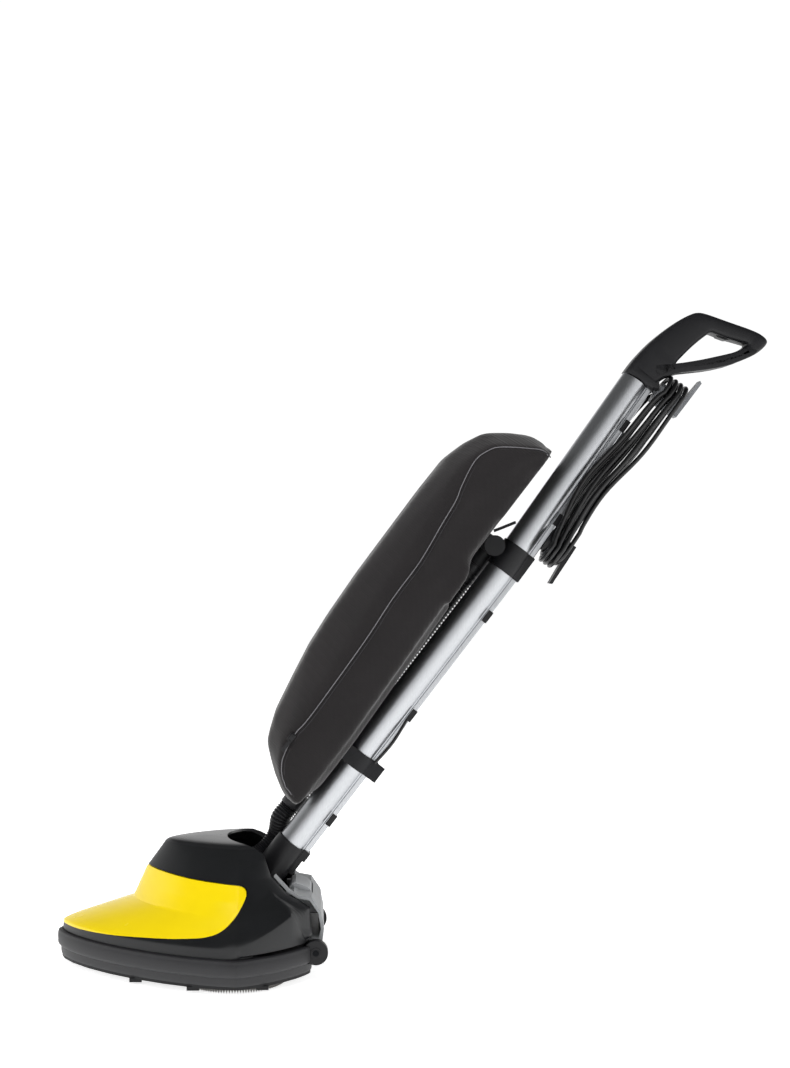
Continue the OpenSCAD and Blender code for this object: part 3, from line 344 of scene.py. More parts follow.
def carve(bm, tool, how="DIFFERENCE"):
    """Cuts one closed form with another."""
    pair = []
    for form in (bm, tool):
        bmesh.ops.recalc_face_normals(form, faces=form.faces)
        mesh = bpy.data.meshes.new("blank")
        form.to_mesh(mesh)
        form.free()
        pair.append(bpy.data.objects.new("blank", mesh))
        bpy.context.collection.objects.link(pair[-1])
    cut = pair[0].modifiers.new("cut", "BOOLEAN")
    cut.operation, cut.object, cut.solver = how, pair[1], "EXACT"
    result = bmesh.new()
    result.from_object(pair[0], bpy.context.evaluated_depsgraph_get())
    for blank_piece in pair:
        bpy.data.meshes.remove(blank_piece.data)
    return result


def bar(radius, start, end, segments=64):
    """A round bar between two places."""
    bm = bmesh.new()
    start, end = Vector(start), Vector(end)
    bmesh.ops.create_cone(bm, cap_ends=True, segments=segments, radius1=radius, radius2=radius,
                          depth=(end - start).length)
    turned = (end - start).to_track_quat("Z", "Y").to_matrix().to_4x4()
    bm.transform(Matrix.Translation((start + end) / 2) @ turned)
    return bm


def box(size, centre):
    """A block, by its size and the place of its middle."""
    bm = bmesh.new()
    bmesh.ops.create_cube(bm, size=1)
    bm.transform(Matrix.Translation(centre) @ Matrix.Diagonal((*size, 1)))
    return bm


def both(make):
    """One form holding a piece and its mirror image across the centre plane."""
    bm = make()
    bmesh.ops.mirror(bm, geom=bm.verts[:] + bm.edges[:] + bm.faces[:], axis="Y", merge_dist=-1)
    bmesh.ops.recalc_face_normals(bm, faces=bm.faces)
    return bm


AXLE_X, AXLE_Z = 119, 37
WHEEL_ROOM, AXLE_ROOM = (18, 80.5, 95.5), (8.3, 62, 82)  # radius, then both ends across the machine


def room(radius, y0, y1):
    """Round rooms on the wheels' axis, on both sides."""
    return both(lambda: bar(radius, (AXLE_X, y0, AXLE_Z), (AXLE_X, y1, AXLE_Z)))


BAND = [  # inset from the outline, then height: the lower tier stands back
    (6, 12), (5.7, 12), (4.9, 13.4), (4.4, 16), (4.2, 23), (1.2, 25.3), (0.3, 27), (0, 29.5), (0, 40.5),
    (0.5, 41.3), (0.5, 42.6), (1.4, 45), (3, 46), (6, 46)]
bm = bmesh.new()
rows = [ring(bm, [(x, y, z) for x, y in outline(inset)]) for inset, z in BAND]
skin(bm, rows + rows[:1], caps=False)
bm = carve(bm, room(*WHEEL_ROOM))
bm = carve(bm, room(*AXLE_ROOM))
bumper_black = grained("soft PVC, fine grain", "#212123", "#29292b", 0.5, 1.6, 0.35, Specular_IOR_Level=0.4)
fit(bm, "bumper_band", BASE, bumper_black, "base", "bumper_grey", "bumper")

# Housing: a black ABS shell, 3 mm thick, with a fine spark-eroded grain and a
# smoother crown. The hood is a second shell that lies flush in its front.
CREST = [  # x, then height of the fold where the wall turns in to the shell
    (-300, 57.5), (-6, 59), (23, 63), (40, 67.5), (61.5, 77), (84, 88.5), (88, 90.5), (91, 86), (105, 53),
    (130, 52)]
SHELL = [  # height, then nose, half width, tail and half width at the tail
    (46, 227, 158, 116, 82), (57.5, 226, 157, 115, 82), (66, 210, 152, 113, 77), (77, 176, 144, 112, 75),
    (91, 130.5, 132, 111, 75), (100, 126, 123, 97, 75), (108, 122.5, 115, 82, 74), (131, 112, 97, 60, 73),
    (154, 95, 78, 52, 70), (161, 90, 71, 50, 66), (166, 86.5, 65, 50, 62), (168.3, 84, 62, 50, 59),
    (169.8, 81, 60, 49, 57), (171.2, 73, 54, 49, 50), (172.3, 58, 42, 48, 36), (173, 24, 18, 47, 14)]
CROWN = SHELL[-1][0]
CROWN_EDGE = (0.1655, 0.1675)
WALL, LEVELS, ACROSS = 3, 96, 200


def along(table, at):
    """Reads a table of rows at a value of their first column."""
    for low_row, high_row in zip(table, table[1:]):
        if at <= high_row[0]:
            share = max(0, (at - low_row[0]) / (high_row[0] - low_row[0]))
            return [a + (b - a) * share for a, b in zip(low_row[1:], high_row[1:])]
    return list(table[-1][1:])


def housing_form(draw):
    """The outside of the shell, drawn in by its thickness for the inside."""
    bm = bmesh.new()
    wall = outline(8 + draw)
    crest = [along(CREST, x)[0] for x, y in wall]
    foot = []
    for (x, y), (deep_x, deep_y) in zip(outline(7 + draw), outline(15 + draw)):
        under = max(0, min(1, (x - 10) / 70))
        foot.append((x + (deep_x - x) * under, y + (deep_y - y) * under))
    rows = [[(x, y, 46 - draw) for x, y in foot],
            [(x, y, 48 - draw) for x, y in foot],
            [(x, y, 50 - draw) for x, y in outline(7.4 + draw)],
            [(x, y, max(z - 2, 50.5) - draw) for (x, y), z in zip(outline(7.6 + draw), crest)],
            [(x, y, z - draw) for (x, y), z in zip(wall, crest)]]
    for k in range(1, LEVELS + 1):
        row = []
        for j, (wx, wy) in enumerate(wall):
            share = k / LEVELS
            z = crest[j] + (CROWN - crest[j]) * share * share * (3 - 2 * share)
            nose, side, tail, tail_w = along(SHELL, z)
            x, y = all_round(half_round(nose - draw, side - draw, tail - draw, max(tail_w - draw, 3)))[j]
            hold = (1 - min(1, (z - crest[j]) / (30 if crest[j] > 60 else 9))) ** 2
            row.append((x + (wx - x) * hold, y + (wy - y) * hold, z - draw))
        rows.append(row)
    skin(bm, [ring(bm, row) for row in rows])
    return bm


def prism(points, y0, y1):
    """An outline in the centre plane, made thick across the machine."""
    bm = bmesh.new()
    edges = ring(bm, [(x, y0, z) for x, z in points])
    face = bmesh.ops.contextual_create(bm, geom=edges)["faces"]
    grown = bmesh.ops.extrude_face_region(bm, geom=face)["geom"]
    far = [v for v in grown if isinstance(v, bmesh.types.BMVert)]
    bmesh.ops.translate(bm, verts=far, vec=(0, y1 - y0, 0))
    bmesh.ops.recalc_face_normals(bm, faces=bm.faces)
    return bm


HOOD = [(-254, 50), (-223, 55.5), (-199, 56), (-156, 58.5), (-101, 62.5), (-64, 65), (-35, 68), (-24, 69.6),
        (-13, 72.4), (-5, 75.8), (2, 80), (8, 85), (14, 91), (19.5, 97.8), (24, 105), (27, 110.5),
        (28.6, 115.5), (28.4, 119.5), (26, 122.8), (22.5, 125), (17, 126.4), (-50, 129), (-107, 133),
        (-150, 134), (-254, 134)]
GAP, LOWER_GAP = 1.3, 0.3
WELL_X, WELL_R = 67, 69
REAR_OPENING = (118, 134.4, 186), (126, 0, 138)
shell = carve(housing_form(0), housing_form(WALL))
hood = carve(shell.copy(), prism(HOOD, -ACROSS, ACROSS), "INTERSECT")
wider = [(x + (GAP if x > 10 else 0), z + (GAP if z > 95 else (-LOWER_GAP if x > -220 else 0)))
         for x, z in HOOD]
housing = carve(shell, prism(wider, -ACROSS, ACROSS))
housing = carve(housing, bar(WELL_R, (WELL_X, 0, 47), (WELL_X, 0, 230), 128))
housing = carve(housing, box(*REAR_OPENING))
housing = carve(housing, room(*WHEEL_ROOM))
housing_black = grained("black ABS, spark-eroded", "#111213", "#18191b", 0.4, 1.6, 0.3,
                        Specular_IOR_Level=0.42)
hood_yellow = grained("yellow ABS, polished mould", "#e8cb00", "#eed302", 0.25, 2.5, 0.02,
                      Specular_IOR_Level=0.5, Coat_Weight=0.2, Coat_Roughness=0.15)


def by_height(tree, low, high, below, above):
    """A value that changes between two heights in metres."""
    place = add(tree, "ShaderNodeTexCoord")
    up = add(tree, "ShaderNodeSeparateXYZ", {"Vector": place.outputs["Object"]})
    return add(tree, "ShaderNodeMapRange", {"Value": up.outputs["Z"]}, From_Min=low, From_Max=high,
               To_Min=below, To_Max=above).outputs[0]


crown_tree = housing_black.node_tree
crown_shader = crown_tree.nodes["Principled BSDF"]
grain_rough = crown_shader.inputs["Roughness"].links[0].from_socket
smoother = by_height(crown_tree, *CROWN_EDGE, 1, 0.7)
crown_rough = add(crown_tree, "ShaderNodeMath", {0: grain_rough, 1: smoother}, operation="MULTIPLY")
crown_tree.links.new(crown_rough.outputs[0], crown_shader.inputs["Roughness"])
crown_tree.links.new(by_height(crown_tree, *CROWN_EDGE, 0.42, 0.9), crown_shader.inputs["Specular IOR Level"])
bmesh.ops.dissolve_degenerate(hood, dist=0.12, edges=hood.edges)
fit(housing, "housing_shell", BASE, housing_black, "base", "housing_black", "upper_housing", crisp=28)
fit(hood, "hood_shell", BASE, hood_yellow, "base", "hood_yellow", "front_hood", crisp=28)


# Rear panel and pedal: light grey polypropylene between the cheeks. The pedal
# has a coarse anti-slip grain and turns on a steel pin over a coil spring.
def softened(node, name, frame_finish, body, slot, edge, crisp=30):
    """A copy of a CAD node with its edges rounded as the mould leaves them."""
    bm = bmesh.new()
    bm.from_mesh(cad[node].data)
    bm.transform(cad[node].matrix_world)
    bmesh.ops.remove_doubles(bm, verts=bm.verts, dist=0.00002)
    bmesh.ops.dissolve_limit(bm, angle_limit=math.radians(0.6), verts=bm.verts, edges=bm.edges)
    bm.transform(Matrix.Scale(1000, 4))
    return fit(bm, name, Matrix.Scale(0.001, 4), frame_finish, body, slot, node, crisp=crisp, rounding=edge,
               outward=False)


panel_grey = grained("polypropylene, light grey", "#868889", "#929496", 0.5, 1.6, 0.4)
pedal_grey = grained("polypropylene, anti-slip grain", "#9c9ea0", "#b4b6b8", 0.55, 3.0, 1.0)
softened("rear_panel", "panel_moulding", panel_grey, "base", "panel_grey", 0.8)
softened("release_pedal", "pedal_moulding", pedal_grey, "pedal", "pedal_grey", 1.2)

SPRING_X, WIRE_R, COIL_R, COIL_Z, COIL_H, COILS, COIL_STEPS = 104, 0.7, 4.2, 82.9, 13.2, 6, 150
bm = bmesh.new()
wire = bmesh.ops.create_circle(bm, segments=10, radius=WIRE_R, cap_ends=False)["verts"]
bmesh.ops.rotate(bm, verts=wire, cent=(0, 0, 0), matrix=Matrix.Rotation(math.radians(90), 3, "X"))
bmesh.ops.translate(bm, verts=wire, vec=(SPRING_X + COIL_R, 0, COIL_Z))
bmesh.ops.spin(bm, geom=bm.verts[:] + bm.edges[:], cent=(SPRING_X, 0, 0), axis=(0, 0, 1),
               dvec=(0, 0, COIL_H / COIL_STEPS), angle=math.radians(360 * COILS), steps=COIL_STEPS)
bmesh.ops.holes_fill(bm, edges=bm.edges)
coil = fit(bm, "pedal_coil", BASE, zinc_steel, "base", "steel", "pedal_spring")
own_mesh(coil)

# Wheels: black rubber tyres, moulded on, at the rear corners of the base. They
# turn on steel axles.
wheel_rubber = grained("moulded rubber, satin", "#121213", "#1a1a1c", 0.5, 1.2, 0.3)
softened("wheel_left", "tyre_left", wheel_rubber, "wheel_l", "wheel_rubber", 2.2)
softened("wheel_right", "tyre_right", wheel_rubber, "wheel_r", "wheel_rubber", 2.2)

# Foot: a black glass-filled nylon yoke that straddles the motor on two pins
# and holds the tube in a socket.
TILT, KNEE = 37.5, -2.3
PIVOT_Z, TUBE_X, KNEE_Z = 113, 38, 581.5
LOW = BASE @ Matrix.Translation((0, 0, PIVOT_Z)) @ Matrix.Rotation(math.radians(TILT), 4, "Y")
UP = LOW @ Matrix.Translation((TUBE_X, 0, KNEE_Z)) @ Matrix.Rotation(math.radians(KNEE), 4, "Y")
satin_black = grained("glass-filled nylon, satin black", "#131315", "#1a1a1c", 0.4, 1.6, 0.3)
softened("foot_yoke", "foot_moulding", satin_black, "handle", "handle_black", 1.5)

# Tubes: extruded aluminium, brushed and clear anodised, with a channel for
# the lead along the back. A plain steel joiner holds them inside the collar.
anodised, metal_tree, metal = blank("anodised aluminium, brushed", "#b9bbbe", 0.33, Metallic=1.0)
metal_place = add(metal_tree, "ShaderNodeTexCoord")
metal_turn = add(metal_tree, "ShaderNodeMapping", {"Vector": metal_place.outputs["Object"]},
                 Rotation=(0, math.radians(-36.4), 0), Scale=(1, 1, 0.012))
brushed = add(metal_tree, "ShaderNodeTexNoise", {"Vector": metal_turn.outputs[0]}, Scale=900, Detail=5)
toned(metal_tree, metal, brushed.outputs["Fac"], "#adafb2", "#c6c8cb")
roughened(metal_tree, metal, brushed.outputs["Fac"], 0.28, 0.4)
raised(metal_tree, metal, brushed.outputs["Fac"], 0.12, 0.0002)
TUBE_R, BORE_R, ROUNDED_END = 19, 17.3, 0.4


def tube_section():
    """Outside of the extrusion, with the step between the tube and its rail."""
    arc = [math.radians(a) for a in range(27, 334, 3)]
    return ([(26, -7), (26, 7), (25, 8), (19.6, 8), (19.0, 7.4), (18.0, 8.4)]
            + [(TUBE_R * math.cos(a), TUBE_R * math.sin(a)) for a in arc]
            + [(18.0, -8.4), (19.0, -7.4), (19.6, -8), (25, -8)])


def extrusion(z0, z1):
    """A length of the tube with its bore."""
    bm = bmesh.new()
    outside = [ring(bm, [(x, y, z) for x, y in tube_section()])
               for z in (z0, z0 + ROUNDED_END, z1 - ROUNDED_END, z1)]
    bore = [(BORE_R * math.cos(a), BORE_R * math.sin(a)) for a in (math.radians(3 * i) for i in range(120))]
    inside = [ring(bm, [(x, y, z) for x, y in bore]) for z in (z1, z0)]
    skin(bm, outside, caps=False)
    skin(bm, inside, caps=False)
    bmesh.ops.triangle_fill(bm, edges=outside[-1] + inside[0], use_beauty=True)
    bmesh.ops.triangle_fill(bm, edges=outside[0] + inside[1], use_beauty=True)
    return bm


bm = extrusion(58, 580.5)
bmesh.ops.translate(bm, verts=bm.verts, vec=(TUBE_X, 0, 0))
fit(bm, "tube_lower", LOW, anodised, "handle", "tube_aluminium", "lower_tube", crisp=25)
fit(extrusion(1.5, 298), "tube_upper", UP, anodised, "handle", "tube_aluminium", "upper_tube", crisp=25)
dress(zinc_steel, "steel", "tube_joiner")

# Collar and clips: black polypropylene. The collar covers the joint of the
# tubes, and the clips snap over the rail and close its channel.
softened("collar", "collar_moulding", satin_black, "handle", "handle_black", 1.5)
softened("cable_clips", "clip_mouldings", satin_black, "handle", "handle_black", 0.5)

# Motor lead: flat black PVC cable in the channel of the rail. It comes out
# for a short way above the strap, where it bows beside the rail.
pvc, pvc_tree, pvc_shader = blank("PVC cable sheath, glossy black", "#0d0d0e", 0.25, Specular_IOR_Level=0.5)
pvc_place = add(pvc_tree, "ShaderNodeTexCoord")
scuffs = add(pvc_tree, "ShaderNodeTexNoise", {"Vector": pvc_place.outputs["Object"]}, Scale=120, Detail=5)
roughened(pvc_tree, pvc_shader, scuffs.outputs["Fac"], 0.2, 0.42)


def smooth_route(points, parts):
    """A soft line through the points."""
    ends = [points[0] * 2 - points[1]] + list(points) + [points[-1] * 2 - points[-2]]
    line = []
    for i in range(1, len(ends) - 2):
        a, b, c, d = ends[i - 1:i + 3]
        for k in range(parts):
            t = k / parts
            line.append(0.5 * (2 * b + (c - a) * t + (2 * a - 5 * b + 4 * c - d) * t * t
                               + (3 * b - a - 3 * c + d) * t ** 3))
    return line + [points[-1]]


def corded(name, line, diameter, finish):
    """A round cord along a line in metres, in the machine's own frame, its diameter in mm."""
    curve = bpy.data.curves.new(name, "CURVE")
    curve.dimensions = "3D"
    curve.bevel_depth = diameter / 2000
    curve.bevel_resolution = 3
    curve.use_fill_caps = True
    spline = curve.splines.new("POLY")
    spline.points.add(len(line) - 1)
    for point, place in zip(spline.points, line):
        point.co = (*place, 1)
    curve.materials.append(finish)
    spline.use_smooth = True
    cord = bpy.data.objects.new(name, curve)
    bpy.context.collection.objects.link(cord)
    return cord


dress(pvc, "cable_black", "motor_lead")
BOW = [(59.5, -6, 326), (60.6, -9, 316), (62.4, -10.6, 300), (63.4, -11, 284), (62.6, -10.8, 266),
       (61, -10, 248)]
bow = smooth_route([Vector(p) for p in BOW], 5)
lead_bow = corded("lead_bow", [LOW @ p for p in bow], 4.2, pvc)
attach(lead_bow, "handle")

# Handle: two black glass-filled nylon mouldings, screwed together round the
# tube. The slim bar of the loop runs out on both sides of the neck.
GRIP = [(-19.5, 0), (-19.5, 8), (-18.6, 24), (-14.6, 51), (-7.6, 77), (0.7, 100), (8.5, 115), (15, 123),
        (26, 128.5), (56, 137), (88, 146), (105, 148.5), (115.5, 145.5), (116, 134), (109, 116), (90, 88),
        (68, 65), (43.6, 44), (30, 23), (25, 8), (25, 0)]
OPENING = [(31, 50), (33, 66), (37, 86), (43, 106), (46, 111), (52, 113), (70, 118), (90, 125), (95, 126),
           (94, 120), (89, 111), (80, 99), (70, 87.5), (58, 75), (46, 63), (36, 53.5)]
BLADE = [(9, 31), (18, 20.5), (31, 28), (43.6, 43), (68, 64.5), (90, 87.5), (107, 113), (111, 126), (98, 123),
         (89, 110), (79, 98), (69, 87), (57, 74), (44, 61), (30, 48)]
HALF_STEPS = [(0.35, 2.2), (0.8, 2.2), (1.3, 1.8), (1.6, 1.1), (1.9, 0.6)]
UPPER = 298


def rounded(points, parts):
    """A closed outline made smooth."""
    flat = [Vector((x, 0, z)) for x, z in points]
    line = smooth_route([flat[-1]] + flat + flat[:2], parts)
    return [(p.x, p.z) for p in line[parts:parts * (len(points) + 1)]]


def pillow(bm, loops, y0, y1, steps, side):
    """Fills the loops and raises them to a form with rounded edges. Each step
    gives how far the edge draws in and how far the face rises."""
    edges = []
    for loop in loops:
        edges += ring(bm, [(x, y0, z + UPPER) for x, z in loop])
    bmesh.ops.triangle_fill(bm, edges=edges, use_beauty=True)
    face = [f for f in bm.faces if all(abs(v.co.y - y0) < 1e-4 for v in f.verts)]
    for f in face:
        if (f.normal.y > 0) != (side > 0):
            f.normal_flip()
    grown = bmesh.ops.extrude_face_region(bm, geom=face, use_keep_orig=True)["geom"]
    top = [f for f in grown if isinstance(f, bmesh.types.BMFace)]
    bmesh.ops.translate(bm, verts=list({v for f in top for v in f.verts}), vec=(0, y1 - y0, 0))
    for f in top:
        f.normal_update()
        if (f.normal.y > 0) != (side > 0):
            f.normal_flip()
    for inward, rise in steps:
        bmesh.ops.inset_region(bm, faces=top, thickness=inward, depth=rise, use_even_offset=True,
                               use_boundary=True)


def join(bm, form):
    """Adds one form to another."""
    mesh = bpy.data.meshes.new("form")
    form.to_mesh(mesh)
    form.free()
    bm.from_mesh(mesh)
    bpy.data.meshes.remove(mesh)


for side, name in ((-1, "left"), (1, "right")):
    bm = bmesh.new()
    body = GRIP[:1] + rounded(GRIP, 4)[4:-4] + GRIP[-1:]
    pillow(bm, [body, rounded(OPENING, 3)], side * 0.02, side * 10, HALF_STEPS, side)
    blade = bmesh.new()
    pillow(blade, [rounded(BLADE, 2)], side * 12, side * 17.2, [(0.4, 0.5), (0.7, 0.2)], side)
    join(bm, blade)
    if side > 0:
        block = box((14, 21, 14), (12, 21.5, 323))
        bmesh.ops.bevel(block, geom=block.edges[:], offset=2, segments=3, profile=0.5, affect="EDGES",
                        material=-1)
        join(bm, block)
    fit(bm, "handle_" + name + "_moulding", UP, satin_black, "handle", "handle_black", "handle_" + name,
        crisp=48)
ROCKER = [(53, 113.6), (57, 112.4), (68, 115.4), (73, 119), (70, 125), (54, 123)]
fit(prism([(x, z + UPPER) for x, z in ROCKER], -8, 8), "switch_rocker", UP, satin_black, "switch",
    "switch_black", "power_switch", rounding=0.8)

# Cable hooks: nylon drums with a flat paddle. The upper one is light grey and
# turns half round to drop the cable, the lower one is screwed to the rail.
hook_grey = grained("nylon, light grey", "#6f7174", "#7b7d80", 0.4, 1.8, 0.3)
softened("upper_hook", "hook_upper_moulding", hook_grey, "hook_swivel", "hook_grey", 1.5)
softened("lower_hook", "hook_lower_moulding", satin_black, "handle", "handle_black", 1.5)

# Mains cable: 4.7 m of 6.2 mm PVC cable. It leaves the right side of the
# handle through a tapered sleeve, is wound over both hooks in two layers, and
# ends in a moulded plug that hangs from the last turn.
LOOPS, TURN, DRUM, LAYER, WAIST, LOW_HOOK, HIGH_HOOK = 7, 24, 20, 7.2, 5, 51, 302
FIRST_X, LEAN, PITCH, SPREAD = 31.8, 4, 7.0, 1.3


def wound(i):
    """A point of the hank, in the upper frame in mm."""
    t, k = i / TURN, i % TURN
    climb = max(0, min(1, (t - LOOPS / 2) * 6))
    r = DRUM + LAYER * climb
    n = LOOPS / 2 - abs(t - LOOPS / 2) + 0.25 * math.sin(math.pi * climb)
    span = HIGH_HOOK - LOW_HOOK
    if k < 4:
        f = (k + 0.5) / 4
        y, z = r - WAIST * math.sin(math.pi * f), HIGH_HOOK - span * f
    elif k < 12:
        f = (k - 3.5) / 8
        y, z = r * math.cos(math.pi * f), LOW_HOOK - r * math.sin(math.pi * f)
    elif k < 16:
        f = (k - 11.5) / 4
        y, z = WAIST * math.sin(math.pi * f) - r, LOW_HOOK + span * f
    else:
        f = (k - 15.5) / 8
        y, z = -r * math.cos(math.pi * f), HIGH_HOOK + r * math.sin(math.pi * f)
    up = max(0, min(1, (z - LOW_HOOK) / span))
    return Vector((FIRST_X + LEAN * up + n * (PITCH + SPREAD * up), y, z))


hank = [wound(i) for i in range(1, LOOPS * TURN + 2)]
LEAD_IN = [(12, 25, 290), (12, 25, 282), (15, 23.5, 268), (21, 20.5, 254), (28, 17.5, 241), (34, 15.8, 229)]
TAIL_END = [(36.2, 25.6, 190), (36, 29.6, 178), (34.6, 33.8, 166), (33, 37.4, 155), (32.66, 39, 145.76),
            (34.6, 39, 138)]
AWAY, PARTS, FADE = 7.2, 6, 54
way_in = (hank[1] - hank[0]).normalized() * AWAY
way_out = (hank[-1] - hank[-2]).normalized() * AWAY
route = [Vector(p) for p in LEAD_IN] + [hank[0] - way_in] + hank + [hank[-1] + way_out]
route += [Vector(p) for p in TAIL_END]
loose = smooth_route(route, PARTS)
for i, p in enumerate(loose):  # the strands hang a little slack and uneven between the hooks
    held = min(1, max(0, i - PARTS) / FADE, max(0, len(loose) - 1 - PARTS - i) / FADE)
    up = max(0, min(1, (p.z - LOW_HOOK) / (HIGH_HOOK - LOW_HOOK)))
    slack = held * math.sin(math.pi * up) ** 1.2
    turn = (i / PARTS - len(LEAD_IN)) / TURN
    inner = max(0, 1 - (p.x - FIRST_X - LEAN * up) / 28)
    p.x += slack * (4.5 * math.sin(2 * math.pi * (up - 0.5)) - 1.5 - (3.2 if turn > LOOPS / 2 else 0))
    p.x += (slack * 1.1 * math.sin(p.z / 31 + 2.1 * int(turn))
            - held * 13 * inner ** 2 * math.sin(math.pi * up) ** 0.5)
    p.y += slack * 1.2 * math.sin(p.z / 27 + 1.3 * int(turn))
cable_line = [UP @ p for p in loose]
cable = corded("mains_cable", cable_line, 6.2, pvc)
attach(cable, "handle")
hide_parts("cable_ends", "cable_hank")

SLEEVE_RIBS = 7
sleeve = [(3.3, 289), (3.9, 289.4), (4.0, 292)]  # radius, then height
for i in range(SLEEVE_RIBS):
    rib_r, groove_r, foot_z = 4.3 + 0.2 * i, 3.6 + 0.2 * i, 292 + 3 * i
    sleeve += [(rib_r, foot_z + 0.4), (rib_r, foot_z + 1.8), (groove_r, foot_z + 2.1),
               (groove_r, foot_z + 3.0)]
sleeve += [(5.6, 314), (5.6, 317)]
bm = bmesh.new()
skin(bm, [ring(bm, [(12 + radius * math.cos(a), 25 + radius * math.sin(a), z) for a in angles(28)])
          for radius, z in sleeve])
soft_black = grained("soft PVC, matt black", "#18181a", "#212123", 0.5, 1.4, 0.3)
fit(bm, "cable_sleeve", UP, soft_black, "handle", "cable_black", "strain_relief")

GRIP_END = [  # half width, half depth and height, from the cable down
    (4, 4, -0.5), (4.4, 4.4, -3), (6, 5.6, -11), (9.5, 7.2, -17), (16, 8.6, -19.5), (17, 9, -21.5),
    (17, 9, -36), (16, 8.4, -37.8), (14, 6.5, -38)]
bm = bmesh.new()
rows = []
for a, b, z in GRIP_END:
    rows.append(ring(bm, [(a * math.copysign(abs(math.cos(t)) ** 0.7, math.cos(t)),
                           b * math.copysign(abs(math.sin(t)) ** 0.7, math.sin(t)), z)
                          for t in angles(36, 0.5)]))
skin(bm, rows)
PLUG = UP @ Matrix.Translation((34.6, 39, 138)) @ Matrix.Rotation(math.radians(-14), 4, "Y")
plug = fit(bm, "plug_moulding", PLUG, soft_black, "handle", "cable_black", "plug")
brass = machined("nickel-plated brass, turned", "#c4c2b8", "#a3a198", 0.22, 1.0)
bm = bmesh.new()
for x in (-9.5, 9.5):
    pin = bmesh.ops.create_cone(bm, cap_ends=True, segments=24, radius1=2.0, radius2=2.4, depth=19.5)["verts"]
    bmesh.ops.translate(bm, verts=pin, vec=(x, 0, -47.25))
pins = fit(bm, "plug_contacts", PLUG, brass, "handle", "steel")

# Dust bag: black woven nylon with a lining, sewn from side panels and a front,
# with piping over the seam and a zip along the left one. It stands swollen.
WEAVE = 1.6  # drawn coarser than the real 0.5 mm threads, which wouldn't show
cloth, cloth_tree, cloth_shader = blank("woven nylon, black", "#171516", 0.8, Specular_IOR_Level=0.2)
cloth_shader.inputs["Sheen Weight"].default_value = 0.25
cloth_shader.inputs["Sheen Roughness"].default_value = 0.5
cloth_place = add(cloth_tree, "ShaderNodeTexCoord")
cloth_turn = add(cloth_tree, "ShaderNodeMapping", {"Vector": cloth_place.outputs["Object"]},
                 Rotation=(0, math.radians(-TILT), 0))
weft = add(cloth_tree, "ShaderNodeTexWave", {"Vector": cloth_turn.outputs[0]}, bands_direction="Z",
           Scale=1000 / WEAVE / 20 * 3.14, Distortion=0.6, Detail=1)
warp = add(cloth_tree, "ShaderNodeTexWave", {"Vector": cloth_turn.outputs[0]}, bands_direction="DIAGONAL",
           Scale=1000 / WEAVE / 20 * 1.8, Distortion=0.6, Detail=1)
over = add(cloth_tree, "ShaderNodeMath", {0: weft.outputs["Fac"], 1: warp.outputs["Fac"]},
           operation="MULTIPLY")
patches = add(cloth_tree, "ShaderNodeTexNoise", {"Vector": cloth_place.outputs["Object"]}, Scale=14, Detail=5)
toned(cloth_tree, cloth_shader, patches.outputs["Fac"], "#131112", "#1f1c1d")
raised(cloth_tree, cloth_shader, over.outputs[0], 0.5, 0.0004)

BAG_HALF, PANEL_HALF = 77, 41
BAG_SIDE = [(-7, 720), (-22, 722), (-48, 704), (-74, 685), (-85, 658), (-82, 631), (-77, 592), (-70, 550),
            (-65, 501), (-62, 442), (-57, 375), (-55, 278), (-53, 222), (-48, 190), (-38, 171), (-22, 158),
            (-8, 152), (9, 146), (13, 150), (13, 256), (3, 500)]
BAG_FRONT = [(-7, 732), (-25, 734), (-40, 729), (-66, 715), (-95, 692), (-105, 665), (-112, 637), (-113, 581),
             (-112, 510), (-111, 439), (-107.5, 369), (-103, 320), (-94, 270), (-84, 220), (-71, 186),
             (-52, 171), (-34, 157), (-10, 140), (10, 139), (13, 142), (13, 256), (3, 500)]
bm = bmesh.new()
for points, half in ((BAG_SIDE, BAG_HALF), (BAG_FRONT, PANEL_HALF)):
    for x, z in points:
        for y in (-half, half):
            bm.verts.new((x, y, z))
hull = bmesh.ops.convex_hull(bm, input=bm.verts)
bmesh.ops.delete(bm, geom=list({g for g in hull["geom_interior"] + hull["geom_unused"]
                               if isinstance(g, bmesh.types.BMVert)}), context="VERTS")
bm = carve(bm, box((59, 58, 900), (20, 15.5, 400)))
bm = carve(bm, prism([(-9, 546), (13, 503), (60, 500), (60, 900), (-9, 900)], -120, 120))
bm.transform(LOW)
bag_mesh = bpy.data.meshes.new("bag_cloth")
bm.to_mesh(bag_mesh)
bm.free()
bag = bpy.data.objects.new("bag_cloth", bag_mesh)
bpy.context.collection.objects.link(bag)


def settle(obj):
    """Replaces a piece's mesh by what its modifiers make of it."""
    made = bpy.data.meshes.new_from_object(obj.evaluated_get(bpy.context.evaluated_depsgraph_get()))
    obj.modifiers.clear()
    obj.data = made


